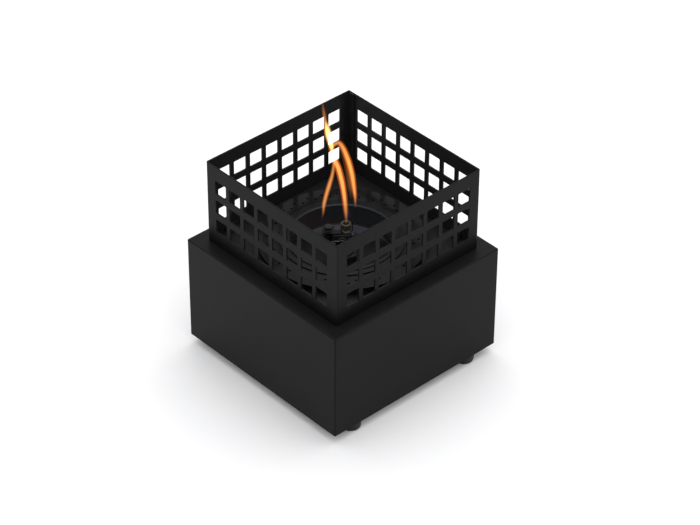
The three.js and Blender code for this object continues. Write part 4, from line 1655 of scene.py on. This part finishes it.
    def nozzle(self) -> Thing:
        """Builds the nozzle, with its ring of air holes bored by a tree.

        Returns:
            The piece.
        """
        radius, port, low, high = self.jet_radius, self.jet_port, self.jet_low, self.jet_high
        groove, floor = radius - self.groove_depth, high - self.port_depth
        outline = [
            (self.bore, low), (3, low, 0.2), (radius, low + 1.2, 0.3), (radius, self.groove_low, 0.2),
            (groove, self.groove_low, 0.2), (groove, self.groove_high, 0.2), (radius, self.groove_high, 0.2),
            (radius, high, 0.45), (port, high, 0.35), (port, floor, 0.3), (self.bore, floor),
        ]
        body = turned("gas_nozzle", outline, sides=72)
        tree = GeometryTree("air holes")
        drill = {
            "Vertices": 16,
            "Radius": tree.size("Hole radius", self.air_hole),
            "Depth": tree.size("Drill length", radius),
        }
        place = tree.combine(tree.size("Out", 0.75 * radius + 0.6), 0, tree.size("Height", self.air_height))
        bit = tree.node("GeometryNodeMeshCylinder", drill, fill_type="NGON")
        out = tree.moved(bit, place, (0, math.pi / 2, 0))
        holes = tree.round_about(tree.count("Air holes", 8), out, math.pi / 8)
        return shifted(tree.run(body, tree.without(holes), BRASS), self.jet_x)

    def gland_nut(self) -> Thing:
        """Builds the gland nut round the tap's spindle."""
        return self.towards_front(hex_nut("tap_gland", self.gland, self.tap_bore, 0.3, 2.8))

    def tap_spindle(self) -> Thing:
        """Builds the tap's spindle.

        Returns:
            The piece.
        """
        start, end, radius = self.spindle_in, self.spindle_out, self.spindle
        outline = [(0, start), (radius, start, 0.3), (radius, end, 0.4), (0, end)]
        return self.towards_front(turned("tap_spindle", outline, sides=40))

    def key(self) -> Thing:
        """Builds the tap's key: one bent wire with an eye and a narrow loop.

        Returns:
            The piece.
        """
        level = self.spindle_out - 1.6
        eye = self.spindle + 0.3 + self.key_wire
        half = self.key_loop / 2
        angles = [-1.35 * math.pi + step * 1.05 * math.pi / 10 for step in range(11)]
        places = [(eye * math.cos(angle), eye * math.sin(angle), level) for angle in angles]
        bend = [-math.pi / 2 + step * math.pi / 8 for step in range(9)]
        middle = self.key_reach - half
        places += [(middle + half * math.cos(angle), half * math.sin(angle), level) for angle in bend]
        places.append((eye + 2 * self.key_wire, half, level))
        wire = tube("tap_key", smooth_path(places, 4), self.key_wire)
        return self.towards_front(spun(wire, self.key_angle))

    def bracket(self) -> Thing:
        """Builds the plate on the valve's head that carries the igniter.

        Returns:
            The piece.
        """
        low = (self.plate_left, -self.plate_half, self.plate_low)
        plate = eased_box("igniter_plate", low, (self.plate_right, self.plate_half, self.plate_high), 0.3, 2)
        hole = rod("hole", self.igniter_radius + 0.3, 131, 136, sides=48)
        return combined(plate, shifted(hole, self.igniter_x), Cut.TAKE_AWAY)

    def igniter(self) -> Thing:
        """Builds the igniter's plastic body with a moulded collar.

        Returns:
            The piece.
        """
        radius, low, high = self.igniter_radius, self.igniter_low, self.igniter_high
        bore, floor = self.button_radius + 0.4, low + 1.2
        outline = [(0, low), (radius - 0.9, low, 0.4), (radius, low + 2.2, 0.5), (radius, high, 0.5)]
        outline += [(bore, high, 0.2), (bore, floor), (0, floor)]
        return shifted(turned("igniter_tube", outline, sides=56), self.igniter_x)

    def button(self) -> Thing:
        """Builds the igniter's button: a stem under a wide cap with a dished top.

        Returns:
            The piece.
        """
        stem, cap, high = self.button_radius, self.igniter_radius, self.button_high
        foot, low = self.igniter_high - self.button_in, high - self.button_cap
        outline = [(0, foot), (stem, foot, 0.2), (stem, low), (cap, low, 0.2), (cap, high, 0.35)]
        outline += [(cap - 1.2, high, 0.4), (0, high - 0.3)]
        return shifted(turned("press_button", outline, sides=40), self.igniter_x)

    def spring(self) -> Thing:
        """Builds the button's spring, wound by a tree.

        Returns:
            The piece.
        """
        tree = GeometryTree("button spring")
        coil = tree.size("Coil radius", self.spring_coil)
        winding = {
            "Resolution": 20,
            "Rotations": tree.setting("Turns", "Float", self.spring_turns),
            "Start Radius": coil,
            "End Radius": coil,
            "Height": tree.size("Height", self.spring_rise),
        }
        helix = tree.node("GeometryNodeCurveSpiral", winding)
        wire = tree.swept(helix, tree.round_outline(tree.size("Wire", self.spring_wire), 8))
        place = tree.combine(0, 0, tree.size("Foot", self.spring_low + self.spring_wire))
        blank = mesh_object("button_spring", [], [])
        return shifted(tree.run(blank, tree.moved(wire, place), BRIGHT_WIRE), self.igniter_x)

    def leaning(self, thing: Thing) -> Thing:
        """Puts a piece that is made upright from the origin into the electrode's leaning place."""
        return shifted(spun(thing, -self.electrode_lean, "Y"), self.electrode_x, 0, self.electrode_low)

    def on_electrode(self, length: float) -> Place:
        """Gives the place on the electrode's axis at a length above its foot."""
        lean = math.radians(self.electrode_lean)
        return self.electrode_x - length * math.sin(lean), 0, self.electrode_low + length * math.cos(lean)

    def insulator(self) -> Thing:
        """Builds the electrode's glazed insulator, bored for the pin.

        Returns:
            The piece.
        """
        bore, radius, length = self.insulator_radius - 0.4, self.insulator_radius, self.insulator_length
        outline = [(bore, 0, 0.1), (radius, 0, 0.25), (radius, length, 0.3), (bore, length, 0.1)]
        return self.leaning(turned("spark_insulator", outline, sides=32))

    def pin(self) -> Thing:
        """Builds the electrode's pin, bent over the nozzle's rim.

        Returns:
            The piece.
        """
        beside = self.jet_x + self.jet_radius + 1.2
        places = [
            self.on_electrode(self.insulator_length - 3), self.on_electrode(self.insulator_length),
            (beside, 0, self.jet_low), (beside, 0, self.pin_bend),
            (beside - 1.07, 0, self.jet_high + 1.2), (beside - 3.2, 0, self.jet_high + 2.4),
        ]
        return tube("spark_pin", smooth_path(places), self.pin_wire, 12)

    def clip(self) -> Thing:
        """Builds the clip that holds the electrode to the valve's head.

        Returns:
            The piece.
        """
        collar = self.leaning(rod("spark_clip", self.clip_radius, self.clip_low, self.clip_high, (0.2,), 40))
        reach, _, height = self.on_electrode(self.clip_low + 1.1)
        low, high = (self.head_right + 0.3, -1.5, height), (reach, 1.5, height + 1.2)
        hole = self.leaning(rod("hole", self.insulator_radius + 0.3, 1, 8))
        combined(collar, eased_box("tongue", low, high, 0.2, 2), Cut.JOIN)
        return combined(collar, hole, Cut.TAKE_AWAY)

    def lead(self) -> Thing:
        """Builds the igniter's lead, which passes behind the pedestal to the electrode.

        Returns:
            The piece.
        """
        start = self.igniter_low - 0.3
        low, left, behind = start - 3.2, self.igniter_x, self.lead_behind
        places = [
            (left, 0, start), (left, 0, start - 0.8), (left + 3.2, behind / 2, low), (left / 2, behind, low),
            (self.jet_x, behind, low), (self.electrode_x, behind / 2, low),
            self.on_electrode(-3.2), self.on_electrode(-0.3),
        ]
        return tube("spark_lead", smooth_path(places), self.lead_radius, 14)


@dataclass
class Cartridge(Assembly):
    """The gas cartridge that screws in under the valve."""

    low: float = 11.3
    radius: float = 45
    wall: float = 0.8
    base_rise: float = 6
    base_foot: float = 3
    seam: float = 65.3
    dome_low: float = 65.6
    dome_high: float = 82.6
    dome_skirt: float = 2
    cup_radius: float = 17
    cup_floor: float = 76.9
    cup_hole: float = 7
    boss_low: float = 78.0
    boss_high: float = 91.3
    boss_radius: float = 9
    boss_flange: float = 1.4
    boss_bore: float = 1.6
    crest: float = 5.5
    root: float = 5.05
    thread_low: float = 81.2
    thread_pitch: float = 1.05
    threads: int = 9
    body: Body = Body.CARTRIDGE

    def build(self) -> None:
        """Builds and finishes the can, its dome and its threaded boss."""
        self.place(self.can(), TIN_PAINT, ["cartridge_can"])
        self.place(self.dome(), TIN_PAINT, ["cartridge_dome"])
        self.place(self.boss(), ZINC, ["cartridge_boss"])

    def can(self) -> Thing:
        """Builds the drawn can with its domed-in base.

        Returns:
            The piece.
        """
        radius, low, wall, foot = self.radius, self.low, self.wall, self.radius - self.base_foot
        rise = [foot * step / 8 for step in range(9)]
        under = [(across, low + self.base_rise * (1 - (across / foot) ** 2)) for across in rise]
        inside = [(across, height + wall) for across, height in reversed(under)]
        outline = [
            *under, (radius - wall, low, 0.6), (radius, low + 1.2, 0.8), (radius, self.seam, 0.3),
            (radius - wall, self.seam, 0.2), (radius - wall, low + 2.4, 0.8), *inside,
        ]
        return turned("gas_can", outline, sides=96)

    def dome(self) -> Thing:
        """Builds the dome with its seam and cup.

        Returns:
            The piece.
        """
        radius, wall, low, cup, floor = self.radius, self.wall, self.dome_low, self.cup_radius, self.cup_floor
        start = low + self.dome_skirt
        quarter = [math.pi / 2 * step / 10 for step in range(11)]

        def arch(width: float, rise: float) -> list[Station]:
            """Gives a quarter of an ellipse, from the skirt up to the cup."""
            return [(cup + width * math.cos(turn), start + rise * math.sin(turn)) for turn in quarter]

        outer = arch(radius - cup, self.dome_high - start)
        inner = reversed(arch(radius - cup - wall, self.dome_high - start - wall))
        outline = [
            (radius - wall, low, 0.2), (radius, low, 0.3), *outer, (cup - wall, floor + wall, 0.5),
            (self.cup_hole, floor + wall, 0.2), (self.cup_hole, floor, 0.2), (cup, floor, 0.8), *inner,
        ]
        return turned("gas_dome", outline, sides=96)

    def boss(self) -> Thing:
        """Builds the threaded boss, whose thread is a row of turned grooves.

        Returns:
            The piece.
        """
        low, high, bore = self.boss_low, self.boss_high, self.boss_bore
        radius, root = self.boss_radius, self.root
        flange = low + self.boss_flange
        thread: list[Station] = []
        for number in range(self.threads):
            foot = self.thread_low + self.thread_pitch * number
            thread += [(root, foot), (self.crest, foot + 0.42), (self.crest, foot + 0.6), (root, foot + 1.0)]
        outline = [(bore, low), (radius, low, 0.3), (radius, flange, 0.3), (root, flange)]
        outline += [*thread, (root - 0.3, high), (bore, high)]
        return turned("gas_boss", outline, sides=48, steps=2)


# Flame, studio and camera


@dataclass(frozen=True)
class Glow:
    """One layer of a tongue: its share of the width, its hue, and its light for each metre of depth."""

    name: str
    width: float
    hue: Colour
    light: float


@dataclass(frozen=True)
class Strand:
    """One tongue of flame: places of its middle in the burner's own frame, and its radius at each.

    Each place is how far along the burner's row and how high above the deck it lies, in millimetres. Root
    and tip are how bright the tongue still is at its two ends.
    """

    name: str
    layers: tuple[Glow, ...]
    root: float
    tip: float
    places: tuple[tuple[float, float], ...]
    radii: tuple[float, ...]


TONGUE = (Glow("mantle", 1.35, (1.0, 0.20, 0.03), 80), Glow("core", 0.75, (1.0, 0.50, 0.12), 185))
FAINT_TONGUE = (Glow("mantle", 1.35, (1.0, 0.26, 0.06), 70), Glow("core", 0.75, (1.0, 0.48, 0.13), 150))
HEART = (Glow("glow", 1.3, (1.0, 0.52, 0.12), 70), Glow("heart", 0.85, (1.0, 0.74, 0.24), 230))
HAZE = (Glow("outer", 1.25, (1.0, 0.30, 0.05), 12), Glow("inner", 0.7, (1.0, 0.30, 0.05), 17))
BLUE_ROOT = (Glow("outer", 1.1, (0.12, 0.16, 1.0), 1.0), Glow("inner", 0.6, (0.12, 0.16, 1.0), 1.4))

STRANDS = (
    Strand(
        "flame_middle", TONGUE, 0.06, 0.05,
        (
            (3.2, 21.5), (3.0, 30), (2.6, 37), (1.2, 53.6), (-1.0, 69), (-4.2, 83.3), (-6.9, 90.9),
            (-9.4, 100.4), (-11.2, 109.5), (-14.0, 121.7), (-15.3, 130.4), (-17.2, 143.6), (-18.7, 156.8),
        ),
        (0.7, 1.4, 1.8, 2.1, 2.4, 2.5, 2.4, 2.2, 2.0, 2.0, 1.7, 1.4, 0.5),
    ),
    Strand(
        "flame_left", FAINT_TONGUE, 0.05, 0.55,
        (
            (-18.7, 27.4), (-17.6, 34), (-17.0, 42.7), (-14.9, 53.6), (-12.2, 64.6), (-9.6, 75.5),
            (-8.2, 86.6), (-8.4, 92), (-9.4, 100),
        ),
        (0.4, 1.0, 1.5, 1.7, 1.8, 1.5, 1.3, 1.3, 1.0),
    ),
    Strand(
        "flame_right", TONGUE, 0.2, 0.8,
        (
            (11.2, 41), (11.2, 46), (10.8, 53.6), (9.9, 62.4), (8.3, 75.5), (5.7, 88.0), (2.7, 98.0),
            (-0.1, 105.3), (-3.4, 110.2), (-6.6, 109.4), (-9.8, 106),
        ),
        (0.4, 0.9, 1.5, 1.9, 2.2, 2.3, 2.3, 2.2, 2.0, 1.8, 1.5),
    ),
    Strand(
        "flame_joint", HEART, 0.5, 0.3,
        ((-9.4, 101), (-10.4, 106), (-11.3, 111.8), (-12.8, 118.6), (-14.3, 127), (-15.6, 133)),
        (0.8, 1.9, 2.5, 2.9, 2.3, 0.8),
    ),
    Strand(
        "flame_veil", HAZE, 0.1, 0.5,
        ((7.6, 50), (6.4, 68), (4.6, 84), (1.6, 97), (-1.6, 104)),
        (1.0, 2.6, 3.0, 2.8, 1.4),
    ),
    Strand("flame_foot", BLUE_ROOT, 1, 0.3, ((4.0, 27), (4.6, 33), (4.8, 40)), (2.0, 4.5, 1.0)),
)


@dataclass
class Flame:
    """The gas flame. It is light and no part of the object, and it moves with the insert."""

    deck: float = 118.9
    turn: float = 45
    root_share: float = 0.22
    tip_share: float = 0.66

    def build(self) -> None:
        """Builds every layer of every tongue."""
        for strand in STRANDS:
            for layer in strand.layers:
                self.tongue(strand, layer)

    def tongue(self, strand: Strand, layer: Glow) -> None:
        """Builds one glowing volume along a tongue.

        Args:
            strand: the tongue.
            layer: the layer of it that is built.
        """
        name = f"{strand.name}_{layer.name}"
        path = smooth_path([(along, 0, self.deck + height) for along, height in strand.places], 5)
        count = len(path) - 1
        shares = [index / count * (len(strand.radii) - 1) for index in range(count + 1)]
        radii = [layer.width * self.between(strand.radii, share) for share in shares]
        tongue = spun(tube(name, path, radii, 20), self.turn)
        tongue.data.materials.append(self.glow(name, strand, layer))
        tongue.data.shade_smooth()
        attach(tongue, Body.INSERT.value)
        LOG.info("%s: staged light", name)

    @staticmethod
    def between(values: Sequence[float], share: float) -> float:
        """Reads a row of values at a place between two of them."""
        low = min(int(share), len(values) - 2)
        return values[low] + (values[low + 1] - values[low]) * (share - low)

    def glow(self, name: str, strand: Strand, layer: Glow) -> bpy.types.Material:
        """Makes a tongue's glowing volume, which fades at both ends.

        Args:
            name: the material's name.
            strand: the tongue.
            layer: the layer of it that glows.

        Returns:
            The material.
        """
        shader = Shader(name)
        heights = [self.deck + height for _, height in strand.places]
        rise = shader.band(shader.axes().output("Z"), min(heights) * MM, max(heights) * MM)
        from_root = shader.band(rise, 0, self.root_share, strand.root, 1)
        light = from_root * shader.band(rise, 1, self.tip_share, strand.tip, 1) * layer.light
        glow = shader.node("ShaderNodeEmission", {"Color": (*layer.hue, 1), "Strength": light})
        shader.links.new(glow.socket, shader.end.inputs["Volume"])
        shader.material.cycles.volume_step_rate = 0.2
        return shader.material


@dataclass
class Studio:
    """The white floor, the soft lights and the camera at the photograph's viewing angle."""

    base_side: float = 0.2
    base_low: float = 0.0095
    azimuth: float = 47.2785
    elevation: float = 36.8841
    roll: float = 0.3704
    distance: float = 12.7792
    slide_right: float = 0.0361
    slide_up: float = 0.3518
    focal: float = 141.31
    sensor: float = 36
    floor_half: float = 4000
    floor_white: Colour = (0.86, 0.86, 0.87)
    sky_from: float = 0.05
    sky_whole: float = 0.85
    sky_low: float = 0.40
    sky_high: float = 1.38
    sky_lean: float = 0.26
    lamp_place: Place = (-0.3, 0.3, 1.8)
    lamp_aim: Place = (0, 0, 0.1)
    lamp_size: float = 1.6
    lamp_power: float = 10

    def build(self) -> None:
        """Builds floor, lights and camera."""
        self.floor()
        self.sky()
        self.lamp()
        self.camera()
        bpy.context.scene.view_settings.view_transform = "Standard"

    def floor(self) -> None:
        """Lays the floor."""
        half = self.floor_half
        corners = [(-half, -half, 0), (half, -half, 0), (half, half, 0), (-half, half, 0)]
        floor = mesh_object("floor", corners, [(0, 1, 2, 3)])
        shader = Shader("white paper")
        shader.surface(self.floor_white, 0.7, Normal=shader.bump(shader.noise(900, 2), 0.00002, 0.2))
        floor.data.materials.append(shader.material)

    def sky(self) -> None:
        """Lights the scene from all round, more from above."""
        world = bpy.data.worlds.new("studio")
        bpy.context.scene.world = world
        world.use_nodes = True
        tree = Tree(world.node_tree)
        tree.nodes.clear()
        direction = tree.node("ShaderNodeTexCoord").output("Generated")
        towards = tree.node("ShaderNodeSeparateXYZ", {0: direction})
        ends = {"From Min": self.sky_from, "From Max": self.sky_whole}
        ends |= {"To Min": self.sky_low, "To Max": self.sky_high, "Value": towards.output("Z")}
        rise = tree.node("ShaderNodeMapRange", ends, clamp=True, interpolation_type="SMOOTHSTEP")
        strength = rise * (1 + self.sky_lean * towards.output("X"))
        light = tree.node("ShaderNodeBackground", {"Color": (1, 1, 1, 1), "Strength": strength})
        tree.node("ShaderNodeOutputWorld", {0: light})

    def lamp(self) -> None:
        """Hangs a soft square lamp that looks at the object."""
        data = bpy.data.lights.new("overhead", "AREA")
        data.size = self.lamp_size
        data.energy = self.lamp_power
        lamp = bpy.data.objects.new("overhead", data)
        lamp.location = self.lamp_place
        look = Vector(self.lamp_aim) - Vector(self.lamp_place)
        lamp.rotation_euler = look.to_track_quat("-Z", "Y").to_euler()
        bpy.context.scene.collection.objects.link(lamp)

    def camera(self) -> None:
        """Sets up the camera."""
        turn, rise, roll = (math.radians(angle) for angle in (self.azimuth, self.elevation, self.roll))
        back = Vector((math.sin(turn) * math.cos(rise), -math.cos(turn) * math.cos(rise), math.sin(rise)))
        level = Vector((0, 0, 1)).cross(back).normalized()
        up = back.cross(level)
        right = level * math.cos(roll) + up * math.sin(roll)
        top = up * math.cos(roll) - level * math.sin(roll)
        place = (back * self.distance + right * self.slide_right + top * self.slide_up) * self.base_side
        place.z += self.base_low
        data = bpy.data.cameras.new("camera")
        data.sensor_width = self.sensor
        data.lens = self.focal
        camera = bpy.data.objects.new("camera", data)
        camera.matrix_world = Matrix.Translation(place) @ Matrix((right, top, back)).transposed().to_4x4()
        bpy.context.scene.collection.objects.link(camera)
        bpy.context.scene.camera = camera


def main() -> None:
    """Builds the fireplace and its studio."""
    logging.basicConfig(level=logging.INFO, format="%(message)s")
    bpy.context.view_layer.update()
    for assembly in (Base(), Grille(), Insert(), Burner(), Cartridge(), Flame(), Studio()):
        LOG.info("building %s", type(assembly).__name__)
        assembly.build()


if __name__ == "__main__":
    main()
